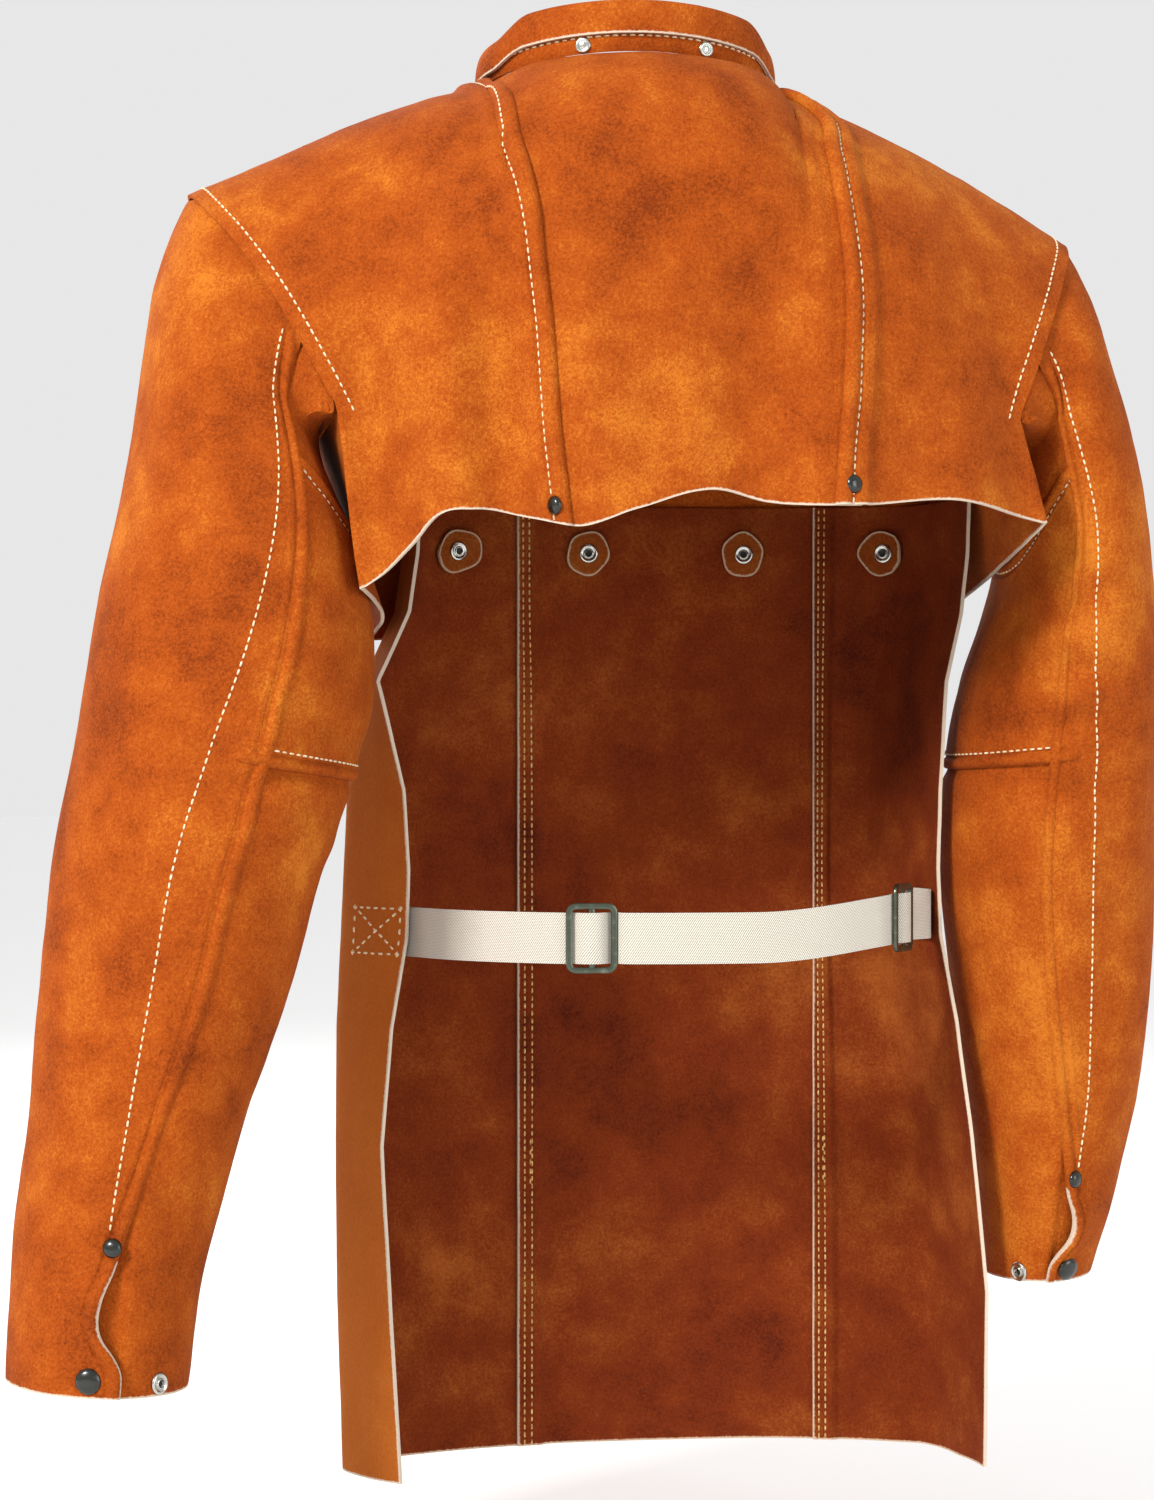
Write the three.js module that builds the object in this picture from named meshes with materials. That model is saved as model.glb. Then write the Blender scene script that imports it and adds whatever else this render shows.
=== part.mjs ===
// Welding cape with bib, split cowhide, kept in its worn form.
// Millimetres, +Z up. The wearer faces -Y and the wearer's left is +X.
// The origin is the centre of the neck opening, level with the shoulders.
import * as THREE from 'three';

// Leather, laps and clearances
const leather = 1.8;
const gap = 0.4;
const layer = leather + gap;
const seamClear = 0.5;
const lapCover = 13;
const lapRamp = 6;
const closureLap = 24;
const armholeTuck = 8;

// Neck opening and collar
const neckHalfWidth = 71;
const neckBackDepth = 62;
const neckFrontDepth = 64;
const neckBackRise = 7;
const neckSideHeight = -2;
const neckFrontDrop = 26;
const bandHeight = 10;
const collarRise = 25;
const collarFrontRise = 14;
const collarFall = 17;
const collarStandOff = 3.2;
const collarOpening = 12;

// Body of the cape
const backDepth = 118;
const frontDepth = 116;
const cornerLoss = 0.36;
const cornerPower = 2.6;
const cornerReach = 1.1;
const bodyHalfWidth = 168;
const shoulderRound = 104;
const neckRound = 74;
const shoulderSlopePower = 1.3;
const backLength = 222;
const hemLean = 29;
const underarmLevel = -171;
const underarmDip = 4;

// Each side of the worn cape: it leans, so the two sides differ
const sides = {
  left: {
    sign: 1, tip: 221, tipDrop: 58, underarm: 151, hemBack: 139, hemFront: 124,
    sideBulge: 2, hemBulge: -9, frontHem: 276, closureEdge: -10,
  },
  right: {
    sign: -1, tip: 227, tipDrop: 73, underarm: 184, hemBack: 197, hemFront: 193,
    sideBulge: 2, hemBulge: 2, frontHem: 256, closureEdge: 10,
  },
};

// Back seams: drop is a share of backLength, x a share of bodyHalfWidth
const backSeams = {
  left: [
    { drop: 0, x: 0.423 }, { drop: 0.06, x: 0.395 }, { drop: 0.18, x: 0.383 },
    { drop: 0.31, x: 0.352 }, { drop: 0.47, x: 0.327 }, { drop: 0.61, x: 0.305 },
    { drop: 0.76, x: 0.289 }, { drop: 1, x: 0.25 },
  ],
  right: [
    { drop: 0, x: -0.423 }, { drop: 0.06, x: -0.5 }, { drop: 0.18, x: -0.502 },
    { drop: 0.31, x: -0.513 }, { drop: 0.47, x: -0.527 }, { drop: 0.7, x: -0.52 },
    { drop: 0.82, x: -0.507 }, { drop: 1, x: -0.492 },
  ],
};

// Armhole edge from shoulder tip to underarm: shares of that drop and inset
const armhole = [
  { drop: 0, inset: 0 }, { drop: 0.12, inset: 0.1 }, { drop: 0.3, inset: 0.28 },
  { drop: 0.55, inset: 0.54 }, { drop: 0.8, inset: 0.79 }, { drop: 1, inset: 1 },
];

// Back hem: across is a share of bodyHalfWidth from the leaning centre, drop a share of backLength
const backHem = [
  { across: -1, drop: 1.0 }, { across: -0.71, drop: 0.96 }, { across: -0.36, drop: 0.978 },
  { across: -0.14, drop: 0.971 }, { across: 0.02, drop: 0.946 }, { across: 0.25, drop: 0.99 },
  { across: 0.42, drop: 1.027 }, { across: 0.5, drop: 1.014 }, { across: 0.7, drop: 0.989 },
  { across: 0.8, drop: 1.005 }, { across: 0.86, drop: 1.06 }, { across: 0.93, drop: 1.117 },
  { across: 1, drop: 1.153 },
];

// Soft folds down the back: across and width are shares of bodyHalfWidth, depth of backDepth
const backFolds = [
  { across: 0.95, width: 0.09, depth: -0.05 }, { across: 0.78, width: 0.1, depth: 0.035 },
  { across: 0.6, width: 0.1, depth: -0.045 }, { across: 0.32, width: 0.12, depth: 0.03 },
  { across: -0.1, width: 0.13, depth: -0.04 }, { across: -0.36, width: 0.1, depth: 0.02 },
  { across: -0.75, width: 0.12, depth: 0.025 }, { across: -0.93, width: 0.08, depth: -0.025 },
];

// Sleeves: drop, tilt are shares of sleeveLength, outer and inner of sleeveReach,
// set and depth of sleeveDepth. Outer and inner are where the silhouette is, from the neck.
const sleeveLength = 580;
const sleeveReach = 300;
const sleeveDepth = 75;
const sleeveSections = {
  left: [
    { drop: 0.162, tilt: 0.078, outer: 0.798, inner: 0.51, set: 0.03, depth: 0.97 },
    { drop: 0.272, tilt: 0.052, outer: 0.835, inner: 0.443, set: 0.16, depth: 1.0 },
    { drop: 0.39, tilt: 0.03, outer: 0.886, inner: 0.43, set: 0.29, depth: 0.99 },
    { drop: 0.475, tilt: 0.019, outer: 0.92, inner: 0.462, set: 0.4, depth: 0.93 },
    { drop: 0.575, tilt: 0.008, outer: 0.963, inner: 0.523, set: 0.47, depth: 0.88 },
    { drop: 0.675, tilt: 0.003, outer: 0.98, inner: 0.577, set: 0.55, depth: 0.8 },
    { drop: 0.778, tilt: 0, outer: 0.995, inner: 0.647, set: 0.64, depth: 0.72 },
    { drop: 0.883, tilt: 0, outer: 1.02, inner: 0.7, set: 0.72, depth: 0.67 },
    { drop: 0.998, tilt: 0.004, outer: 1.03, inner: 0.74, set: 0.83, depth: 0.63 },
  ],
  right: [
    { drop: 0.162, tilt: 0.068, outer: 0.808, inner: 0.66, set: -0.05, depth: 0.95 },
    { drop: 0.272, tilt: 0.048, outer: 0.893, inner: 0.676, set: -0.19, depth: 1.0 },
    { drop: 0.39, tilt: 0.026, outer: 0.938, inner: 0.615, set: -0.3, depth: 0.98 },
    { drop: 0.475, tilt: 0.01, outer: 0.956, inner: 0.592, set: -0.4, depth: 0.9 },
    { drop: 0.575, tilt: 0, outer: 0.959, inner: 0.582, set: -0.47, depth: 0.84 },
    { drop: 0.675, tilt: 0, outer: 0.96, inner: 0.603, set: -0.56, depth: 0.76 },
    { drop: 0.778, tilt: 0, outer: 0.945, inner: 0.637, set: -0.65, depth: 0.68 },
    { drop: 0.865, tilt: 0, outer: 0.91, inner: 0.662, set: -0.72, depth: 0.62 },
    { drop: 0.955, tilt: 0.003, outer: 0.865, inner: 0.682, set: -0.79, depth: 0.58 },
  ],
};
const sleeveClear = 0.8;
// Near the armhole the sleeve's inner side lies flatter beside the body
const besidePower = 0.78;
const besideRows = 2.4;
const loopCorner = 125;
const backSeamAngle = [
  { row: 0, angle: 115 }, { row: 2, angle: 112 }, { row: 3, angle: 104 },
  { row: 5, angle: 92 }, { row: 7, angle: 90 }, { row: 10, angle: 97 },
];
const frontSeamAngle = 258;
const gussetRow = 2.75;
const elbowRow = 5.1;
const sleeveLastRow = 10;

// Bib: hangs inside the front hem and wraps back at the sides.
// drop is a share of bibLength, x places are shares of bibHalfWidth, y places of bibWrap.
const bibTop = -202;
const bibLength = 508;
const bibHalfWidth = 160;
const bibWrap = 64;
const bibSeamLap = 12;
const bibClear = 0.45;
const bibSections = [
  { drop: 0, edgeX: -1.148, edgeY: -0.24, sideX: -1.13, bendX: 0.65, flapX: 0.63, flapY: -0.5 },
  { drop: 0.06, edgeX: -1.14, edgeY: -0.24, sideX: -1.12, bendX: 0.665, flapX: 0.64, flapY: -0.5 },
  { drop: 0.12, edgeX: -1.12, edgeY: -0.24, sideX: -1.1, bendX: 0.69, flapX: 0.67, flapY: -0.47 },
  { drop: 0.19, edgeX: -1.072, edgeY: -0.24, sideX: -1.05, bendX: 0.795, flapX: 0.775, flapY: -0.4 },
  { drop: 0.3, edgeX: -1.05, edgeY: -0.24, sideX: -1.03, bendX: 0.843, flapX: 0.69, flapY: -0.38 },
  { drop: 0.38, edgeX: -1.045, edgeY: -0.24, sideX: -1.015, bendX: 0.855, flapX: 0.673, flapY: -0.38 },
  { drop: 0.45, edgeX: -1.055, edgeY: -0.24, sideX: -1.02, bendX: 0.865, flapX: 0.68, flapY: -0.38 },
  { drop: 0.54, edgeX: -1.11, edgeY: -0.24, sideX: -1.08, bendX: 0.88, flapX: 0.728, flapY: -0.38 },
  { drop: 0.66, edgeX: -1.16, edgeY: -0.26, sideX: -1.14, bendX: 0.882, flapX: 0.757, flapY: -0.38 },
  { drop: 0.82, edgeX: -1.214, edgeY: -0.3, sideX: -1.19, bendX: 0.878, flapX: 0.73, flapY: -0.38 },
  { drop: 1, edgeX: -1.214, edgeY: -0.34, sideX: -1.19, bendX: 0.86, flapX: 0.697, flapY: -0.38 },
];
const bibSeamLeft = 0.265;
const bibSeamRight = -0.75;
const bibSnapDrop = 0.05;
const bibSnapAcross = [0.475, 0.02, -0.515, -0.98];

// Waist strap and its two sliders
const webbingWidth = 25.4;
const webbingThick = 1.5;
const strapLevel = -427.5;
const strapRise = 8;
const sliderHeight = 35;
const sliderWidth = 26;
const sliderWire = 3.2;
const sliderThick = 2.4;
const sliderBar = 3;
const sliderBarRoot = 0.6;
const strapRoute = [
  { x: 116, y: -43 }, { x: 104, y: -27 }, { x: 94, y: -9 }, { x: 79, y: 10 }, { x: 59, y: 26 },
];
const sliderAt = { x: 23.3, y: 42 };
const strapBack = [
  { x: 4, y: 46 }, { x: -30, y: 49 }, { x: -64, y: 47 }, { x: -98, y: 39 }, { x: -124, y: 26 },
];
const endSliderAt = { x: -143, y: 9, turn: 57 };
const anchorRoute = [{ x: -163.2, y: -19 }, { x: -161, y: -42 }];

// Snaps and rivets
const rivetRadius = 4.6;
const rivetHeight = 2.6;
const capRadius = 6.2;
const capHeight = 2.8;
const studRadius = 5.2;
const studHeight = 2.4;
const collarStudRadius = 4.2;
const collarStudHeight = 1.6;
const patchRadius = 11.5;
const patchThick = 1.5;
const patchClear = 0.5;
const patchBend = 2.4;
const closureCaps = [0.16, 0.42, 0.68, 0.93];
const closureCapSet = 4;

// Colours
const suede = { color: 0xc8641e, roughness: 0.95, metalness: 0 };
const flesh = { color: 0x8a3a12, roughness: 0.95, metalness: 0 };
const webbing = { color: 0xf3efe3, roughness: 0.85, metalness: 0 };
const blackEnamel = { color: 0x2a2e22, roughness: 0.25, metalness: 0.3 };
const nickel = { color: 0xb9b9b4, roughness: 0.3, metalness: 1 };
const gunmetal = { color: 0x6f7568, roughness: 0.35, metalness: 0.9 };

const cape = new THREE.Group();

// Small helpers
const mix = (a, b, t) => a + (b - a) * t;
const clamp01 = (t) => Math.min(1, Math.max(0, t));
const smooth = (t) => clamp01(t) ** 2 * (3 - 2 * clamp01(t));
const radians = (degrees) => (degrees * Math.PI) / 180;

function tableValue(rows, key, value, at) {
  let i = 0;
  while (i < rows.length - 2 && at > rows[i + 1][key]) i += 1;
  const share = clamp01((at - rows[i][key]) / (rows[i + 1][key] - rows[i][key]));
  return mix(rows[i][value], rows[i + 1][value], share);
}

function splineValue(values, t) {
  const i = Math.min(values.length - 2, Math.max(0, Math.floor(t)));
  const p0 = values[Math.max(0, i - 1)];
  const p1 = values[i];
  const p2 = values[i + 1];
  const p3 = values[Math.min(values.length - 1, i + 2)];
  const u = t - i;
  return 0.5 * (2 * p1 + (p2 - p0) * u + (2 * p0 - 5 * p1 + 4 * p2 - p3) * u * u
    + (3 * p1 - p0 - 3 * p2 + p3) * u ** 3);
}

function addMesh(name, geometry, finish) {
  const mesh = new THREE.Mesh(geometry, new THREE.MeshStandardMaterial(finish));
  mesh.name = name;
  cape.add(mesh);
  return mesh;
}

// A leather wall: patches are grids of { point, lift }, seen from outside with rows going down
// and columns going to the right. Lift moves the wall off its base surface.
function wallGeometry(patches, thick, flip) {
  const points = [];
  const lifts = [];
  const index = new Map();
  const faces = [];
  const vertexOf = (node) => {
    const key = node.point.toArray().map((v) => Math.round(v * 500)).join(',');
    if (!index.has(key)) {
      index.set(key, points.length);
      points.push(node.point);
      lifts.push(node.lift);
    }
    return index.get(key);
  };
  for (const grid of patches) {
    for (let r = 0; r + 1 < grid.length; r += 1) {
      for (let c = 0; c + 1 < grid[r].length; c += 1) {
        const a = vertexOf(grid[r][c]);
        const b = vertexOf(grid[r + 1][c]);
        const d = vertexOf(grid[r + 1][c + 1]);
        const e = vertexOf(grid[r][c + 1]);
        const pair = flip ? [[a, d, b], [a, e, d]] : [[a, b, d], [a, d, e]];
        for (const face of pair) {
          if (new Set(face).size === 3) faces.push(face);
        }
      }
    }
  }
  const normals = points.map(() => new THREE.Vector3());
  for (const [a, b, c] of faces) {
    const side = points[b].clone().sub(points[a]);
    const normal = side.cross(points[c].clone().sub(points[a]));
    normals[a].add(normal);
    normals[b].add(normal);
    normals[c].add(normal);
  }
  normals.forEach((n) => n.normalize());
  const inner = points.map((p, i) => p.clone().addScaledVector(normals[i], lifts[i]));
  const outer = points.map((p, i) => p.clone().addScaledVector(normals[i], lifts[i] + thick));
  const corners = [];
  const put = (...list) => list.forEach((p) => corners.push(p.x, p.y, p.z));
  const edges = new Set();
  for (const face of faces) {
    const [a, b, c] = face;
    put(outer[a], outer[b], outer[c]);
    put(inner[a], inner[c], inner[b]);
    [[a, b], [b, c], [c, a]].forEach(([s, e]) => edges.add(`${s},${e}`));
  }
  for (const edge of edges) {
    const [s, e] = edge.split(',').map(Number);
    if (!edges.has(`${e},${s}`)) {
      put(outer[e], outer[s], inner[s]);
      put(outer[e], inner[s], inner[e]);
    }
  }
  const geometry = new THREE.BufferGeometry();
  geometry.setAttribute('position', new THREE.Float32BufferAttribute(corners, 3));
  return geometry;
}

// Body surface: y as a function of x and z, for the back (face 1) and the front (face -1)
function leanAt(z) {
  return -hemLean * clamp01(-z / backLength) ** 0.8;
}

function ridgeHeight(x) {
  const side = x > 0 ? sides.left : sides.right;
  const share = clamp01((Math.abs(x) - neckHalfWidth) / (side.tip - neckHalfWidth));
  return neckSideHeight - (side.tipDrop + neckSideHeight) * share ** shoulderSlopePower;
}

function neckRing(x, face) {
  const round = Math.sqrt(Math.max(0, 1 - (x / neckHalfWidth) ** 2));
  const depth = face > 0 ? neckBackDepth : neckFrontDepth;
  const rise = face > 0 ? neckBackRise - neckSideHeight : -neckFrontDrop - neckSideHeight;
  return { y: depth * round, z: neckSideHeight + rise * round ** 1.4 };
}

function startOf(x, face) {
  if (Math.abs(x) < neckHalfWidth) {
    const share = Math.abs(x) / neckHalfWidth;
    const ring = neckRing(x, face);
    return { y: ring.y, z: ring.z, round: mix(neckRound, shoulderRound, share ** 2) };
  }
  return { y: 0, z: ridgeHeight(x), round: shoulderRound };
}

function bodyDepth(x, z, face) {
  const across = (x - leanAt(z)) / bodyHalfWidth;
  const bounded = Math.abs(across) / (1 + (across / cornerReach) ** 8) ** (1 / 8);
  const depth = face > 0 ? backDepth : frontDepth;
  let form = 1 - cornerLoss * bounded ** cornerPower;
  if (face > 0) {
    const fade = smooth((-z - 0.25 * backLength) / (0.5 * backLength));
    for (const fold of backFolds) {
      form += fade * fold.depth * Math.exp(-(((across - fold.across) / fold.width) ** 2));
    }
  }
  return depth * form;
}

function bodyPoint(x, z, face) {
  const start = startOf(x, face);
  const share = clamp01((start.z - z) / start.round);
  const swell = Math.sqrt(1 - (1 - share) ** 2);
  return new THREE.Vector3(x, face * mix(start.y, bodyDepth(x, z, face), swell), z);
}

const seamX = (side, z) => bodyHalfWidth
  * tableValue(backSeams[side], 'drop', 'x', (neckSideHeight - z) / backLength);

function armholeX(side, drop) {
  const { sign, tip, underarm } = sides[side];
  return sign * mix(tip, underarm, tableValue(armhole, 'drop', 'inset', drop));
}

function hemHeight(x, face) {
  if (face < 0) {
    const span = sides.left.hemFront + sides.right.hemFront;
    const share = clamp01((x + sides.right.hemFront) / span);
    return -mix(sides.right.frontHem, sides.left.frontHem, share);
  }
  const across = (x + hemLean) / bodyHalfWidth;
  return -backLength * tableValue(backHem, 'across', 'drop', across);
}

const rowsAbove = 9;
const rowsBelow = 3;
const ringRows = 4;
const ringSpread = 0.82;
const dropShare = (row) => (Math.min(row, rowsAbove) / rowsAbove) ** 2;
const belowShare = (row) => Math.max(0, row - rowsAbove) / rowsBelow;

function seamLevel(row) {
  const level = mix(neckSideHeight, underarmLevel, dropShare(row));
  return mix(level, -backLength, belowShare(row));
}

function backZ(x, row) {
  const below = belowShare(row);
  if (below > 0) return mix(underarmLevel, hemHeight(x, 1), below);
  return mix(startOf(x, 1).z, underarmLevel, dropShare(row));
}

// The three panels that make the cape's body
function backCenterPanel() {
  const columns = 14;
  const grid = [];
  for (let row = 0; row <= rowsAbove + rowsBelow; row += 1) {
    const level = seamLevel(row);
    const left = row === 0 ? neckHalfWidth : seamX('left', level);
    const right = row === 0 ? -neckHalfWidth : seamX('right', level);
    const line = [];
    for (let column = -1; column <= columns + 1; column += 1) {
      const share = clamp01(column / columns);
      const bunched = (1 - Math.cos(Math.PI * share)) / 2;
      const under = column === -1 ? 1 : -1;
      const reach = column < 0 || column > columns ? under * lapCover : 0;
      const x = mix(left, right, mix(bunched, share, smooth(row / 6))) + reach;
      line.push({ point: bodyPoint(x, backZ(x, row), 1), lift: 0 });
    }
    grid.push(line);
  }
  return wallGeometry([grid], leather, false);
}

function sidePanelPoint(side, face, row, column, columns) {
  const { sign, closureEdge, underarm, hemBack, hemFront } = sides[side];
  const front = face < 0;
  const drop = dropShare(row);
  const below = belowShare(row);
  const innerDrop = front ? clamp01((row - ringRows) / (rowsAbove - ringRows)) ** 1.2 : drop;
  const closureHem = hemHeight(-hemLean, -1);
  const closureZ = mix(mix(-neckFrontDrop, underarmLevel, innerDrop), closureHem, below);
  let inner = front ? leanAt(closureZ) + closureEdge : seamX(side, seamLevel(row));
  if (front && row < ringRows) {
    const ringEnd = Math.acos(Math.abs(closureEdge) / neckHalfWidth);
    inner = sign * neckHalfWidth * Math.cos(ringEnd * (row / (ringRows - 1)) ** ringSpread);
  }
  if (row === 0) inner = sign * neckHalfWidth;
  let outer = armholeX(side, drop);
  if (below > 0) outer = sign * mix(underarm, front ? hemFront : hemBack, below);
  const cover = mix(lapCover, closureLap, front ? smooth(row / ringRows) : 0);
  const rest = clamp01((column - 2) / (columns - 2));
  let x = mix(inner + sign * (cover + lapRamp), outer, rest);
  if (column === 0) x = inner;
  if (column === 1) x = inner + sign * cover;
  if (!front) return bodyPoint(x, backZ(x, row), face);
  const share = mix(innerDrop, drop, clamp01((column - 1) / (columns - 2)) ** 0.8);
  const z = mix(startOf(x, face).z, underarmLevel, share);
  return bodyPoint(x, mix(z, hemHeight(x, face), below), face);
}

function sideWall(side, k, below) {
  const { sign, sideBulge, hemBulge } = sides[side];
  const arch = 4 * k * (1 - k);
  const row = rowsAbove + below * rowsBelow;
  const back = sidePanelPoint(side, 1, row, sideColumns, sideColumns);
  const point = back.lerp(sidePanelPoint(side, -1, row, sideColumns, sideColumns), k);
  point.x += sign * mix(sideBulge, hemBulge, below) * arch;
  point.z -= underarmDip * (1 - below) * arch;
  return point;
}

const sideColumns = 7;
const wallColumns = 6;

function sidePanel(side) {
  const over = side === 'left';
  const grids = [];
  for (const face of [1, -1]) {
    const grid = [];
    for (let row = 0; row <= rowsAbove + rowsBelow; row += 1) {
      const line = [];
      for (let column = 0; column <= sideColumns; column += 1) {
        const laps = face > 0 || over || row < 1;
        const lift = column < 2 && laps ? layer + seamClear : 0;
        line.push({ point: sidePanelPoint(side, face, row, column, sideColumns), lift });
      }
      grid.push(face > 0 ? line : line.reverse());
    }
    grids.push(grid);
  }
  const wall = [];
  for (let row = 0; row <= rowsBelow; row += 1) {
    const line = [];
    for (let k = 0; k <= wallColumns; k += 1) {
      line.push({ point: sideWall(side, k / wallColumns, row / rowsBelow), lift: 0 });
    }
    wall.push(line);
  }
  grids.push(wall);
  return wallGeometry(grids, leather, side === 'left');
}

// Sleeve surface: row 0 is tucked under the armhole, row 1 at its edge, the rest are sections
function armholeLoop(side, angle) {
  const { sign } = sides[side];
  const turn = ((angle % 360) + 360) % 360;
  const face = turn <= 180 ? 1 : -1;
  const fromTop = turn <= 180 ? turn : 360 - turn;
  if (fromTop <= loopCorner) {
    const at = (row) => sidePanelPoint(side, face, row, sideColumns, sideColumns);
    const inside = (row) => {
      const tuck = row >= rowsAbove ? -2.5 : armholeTuck;
      const edge = at(row);
      return bodyPoint(edge.x - sign * tuck, edge.z, face);
    };
    const row = (fromTop / loopCorner) * rowsAbove;
    const low = Math.min(rowsAbove - 1, Math.floor(row));
    const reach = (r) => {
      const out = at(r);
      out.x += sign * (r >= rowsAbove ? 4 : 1);
      return out;
    };
    const sink = (r) => {
      const drop = dropShare(r);
      const normal = new THREE.Vector3(sign * 0.35, face * Math.sqrt(drop), 1 - drop ** 0.5 * 0.8);
      return normal.normalize().multiplyScalar(-layer - sleeveClear);
    };
    const pick = (make) => make(low).add(sink(low)).lerp(make(low + 1).add(sink(low + 1)), row - low);
    return [pick(inside), pick(reach)];
  }
  const k = (turn - loopCorner) / (360 - 2 * loopCorner);
  const edge = sideWall(side, k, 0);
  const tuckEdge = edge.clone();
  tuckEdge.x += sign * 2.5;
  tuckEdge.z += 1.2;
  edge.x += sign * 6;
  edge.z += 0.6;
  return [tuckEdge, edge];
}

function sleeveRing(side, row, angle) {
  const { sign } = sides[side];
  const a = radians(angle);
  const section = (key) => {
    const values = sleeveSections[side].map((s) => s[key]);
    return splineValue(values, row - 2);
  };
  const outer = section('outer') * sleeveReach - leather;
  const inner = section('inner') * sleeveReach + leather;
  const tilt = section('tilt') * sleeveLength;
  const inward = Math.max(0, -Math.cos(a));
  const beside = inward ** mix(besidePower, 1, clamp01((row - 2) / besideRows)) - inward;
  const x = (outer + inner) / 2 + ((outer - inner) / 2) * (Math.cos(a) - beside);
  const y = section('set') * sleeveDepth + section('depth') * sleeveDepth * Math.sin(a);
  const z = -sides.left.tipDrop - section('drop') * sleeveLength + tilt * Math.cos(a);
  return new THREE.Vector3(sign * x, y, z);
}

function sleevePoint(side, row, angle) {
  const [tuck, edge] = armholeLoop(side, angle);
  if (row <= 1) return tuck.lerp(edge, row);
  if (row >= 2) return sleeveRing(side, row, angle);
  const first = sleeveRing(side, 2, angle);
  const second = sleeveRing(side, 3, angle);
  const point = new THREE.Vector3();
  for (const axis of ['x', 'y', 'z']) {
    point[axis] = splineValue([tuck[axis], edge[axis], first[axis], second[axis]], row);
  }
  return point;
}

function sleeveGirthAngle(side, row, distance) {
  const girth = sleeveDepth * mix(0.97, 0.62, clamp01((row - 2) / 8));
  return THREE.MathUtils.radToDeg(distance / girth);
}

const seamAngle = (row) => tableValue(backSeamAngle, 'row', 'angle', row);

const lapRow = 0.28;
const rampRow = 0.14;
const sleeveRows = [
  0, 1, 1.8, gussetRow - lapRow, gussetRow, gussetRow + rampRow, 3.5, 4.2, elbowRow - lapRow,
  elbowRow, elbowRow + rampRow, 6.2, 7.4, 8.7, sleeveLastRow,
];

function sleevePiece(side, kind, fromRow, toRow) {
  const grid = [];
  const outerPiece = kind === 'outer';
  const count = outerPiece ? 9 : 5;
  const first = fromRow > 0 ? fromRow - lapRow : 0;
  for (const row of sleeveRows.filter((r) => r >= first && r <= toRow)) {
    const line = [];
    const back = seamAngle(row);
    const lap = sleeveGirthAngle(side, row, lapCover);
    const ramp = sleeveGirthAngle(side, row, lapRamp);
    const under = fromRow > 0 && row <= fromRow ? -layer : 0;
    if (outerPiece) {
      const start = frontSeamAngle - 360;
      line.push({ point: sleevePoint(side, row, start), lift: 0 });
      for (let i = 0; i <= count; i += 1) {
        const angle = mix(start + lap, back - lap, i / count);
        line.push({ point: sleevePoint(side, row, angle), lift: 0 });
      }
      line.push({ point: sleevePoint(side, row, back), lift: 0 });
    } else {
      const front = frontSeamAngle;
      const angles = [[back - lap + 0.3, 1], [back, 1], [back + ramp, 0]];
      for (let i = 1; i < count; i += 1) {
        angles.push([mix(back + ramp, front - ramp, i / count), 0]);
      }
      angles.push([front - ramp, 0], [front, 1], [front + lap - 0.3, 1]);
      for (const [angle, lapped] of angles) {
        const lift = under - lapped * (layer + seamClear);
        line.push({ point: sleevePoint(side, row, angle), lift });
      }
    }
    grid.push(line);
  }
  return wallGeometry([grid], leather, side === 'right');
}

// Collar: a low band on the neck edge and a leaf folded over it
function collarRing(angle, out, up) {
  const a = radians(angle);
  const x = neckHalfWidth * Math.sin(a);
  const face = Math.cos(a) >= 0 ? 1 : -1;
  const ring = neckRing(x, face);
  const point = new THREE.Vector3(x, face * ring.y, ring.z + up);
  point.x += out * Math.sin(a);
  point.y += out * Math.cos(a);
  return point;
}

const frontness = (angle) => smooth((Math.abs(angle) - 55) / 25);
const collarEnd = 180 - THREE.MathUtils.radToDeg(collarOpening / neckFrontDepth);
const collarColumns = 26;

function collarPiece(profile) {
  const grid = profile(0).map(() => []);
  for (let column = 0; column <= collarColumns; column += 1) {
    const angle = mix(collarEnd, -collarEnd, column / collarColumns);
    profile(angle).forEach(([out, up], row) => {
      grid[row].push({ point: collarRing(angle, out, up), lift: 0 });
    });
  }
  return wallGeometry([grid], leather, false);
}

const bandBase = (angle) => layer * (1 + 1.5 * frontness(angle)) + gap;

function bandProfile(angle) {
  const base = bandBase(angle);
  return [[0, base + bandHeight], [0, base + bandHeight * 0.45], [0.6, base]];
}

function leafProfile(angle) {
  const share = frontness(angle * 1.15);
  const top = mix(collarRise, collarFrontRise + 4, share) + 2.5;
  const fall = mix(collarFall, collarFrontRise - 3, share);
  const inside = -layer;
  const outside = collarStandOff + 1.2;
  const base = bandBase(angle);
  return [
    [outside + 1.4, top - fall], [outside + 0.9, top - fall * 0.5], [outside - 0.8, top - 1.6],
    [(inside + outside) / 2, top], [inside, top - 2.6], [inside, (top + base) / 2],
    [inside, base + 2],
  ];
}

// Bib: it lies inside the cape's front, and its sides wrap back
const bibFrontY = (x, z) => layer + bibClear - bodyDepth(x, z, -1);

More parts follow.
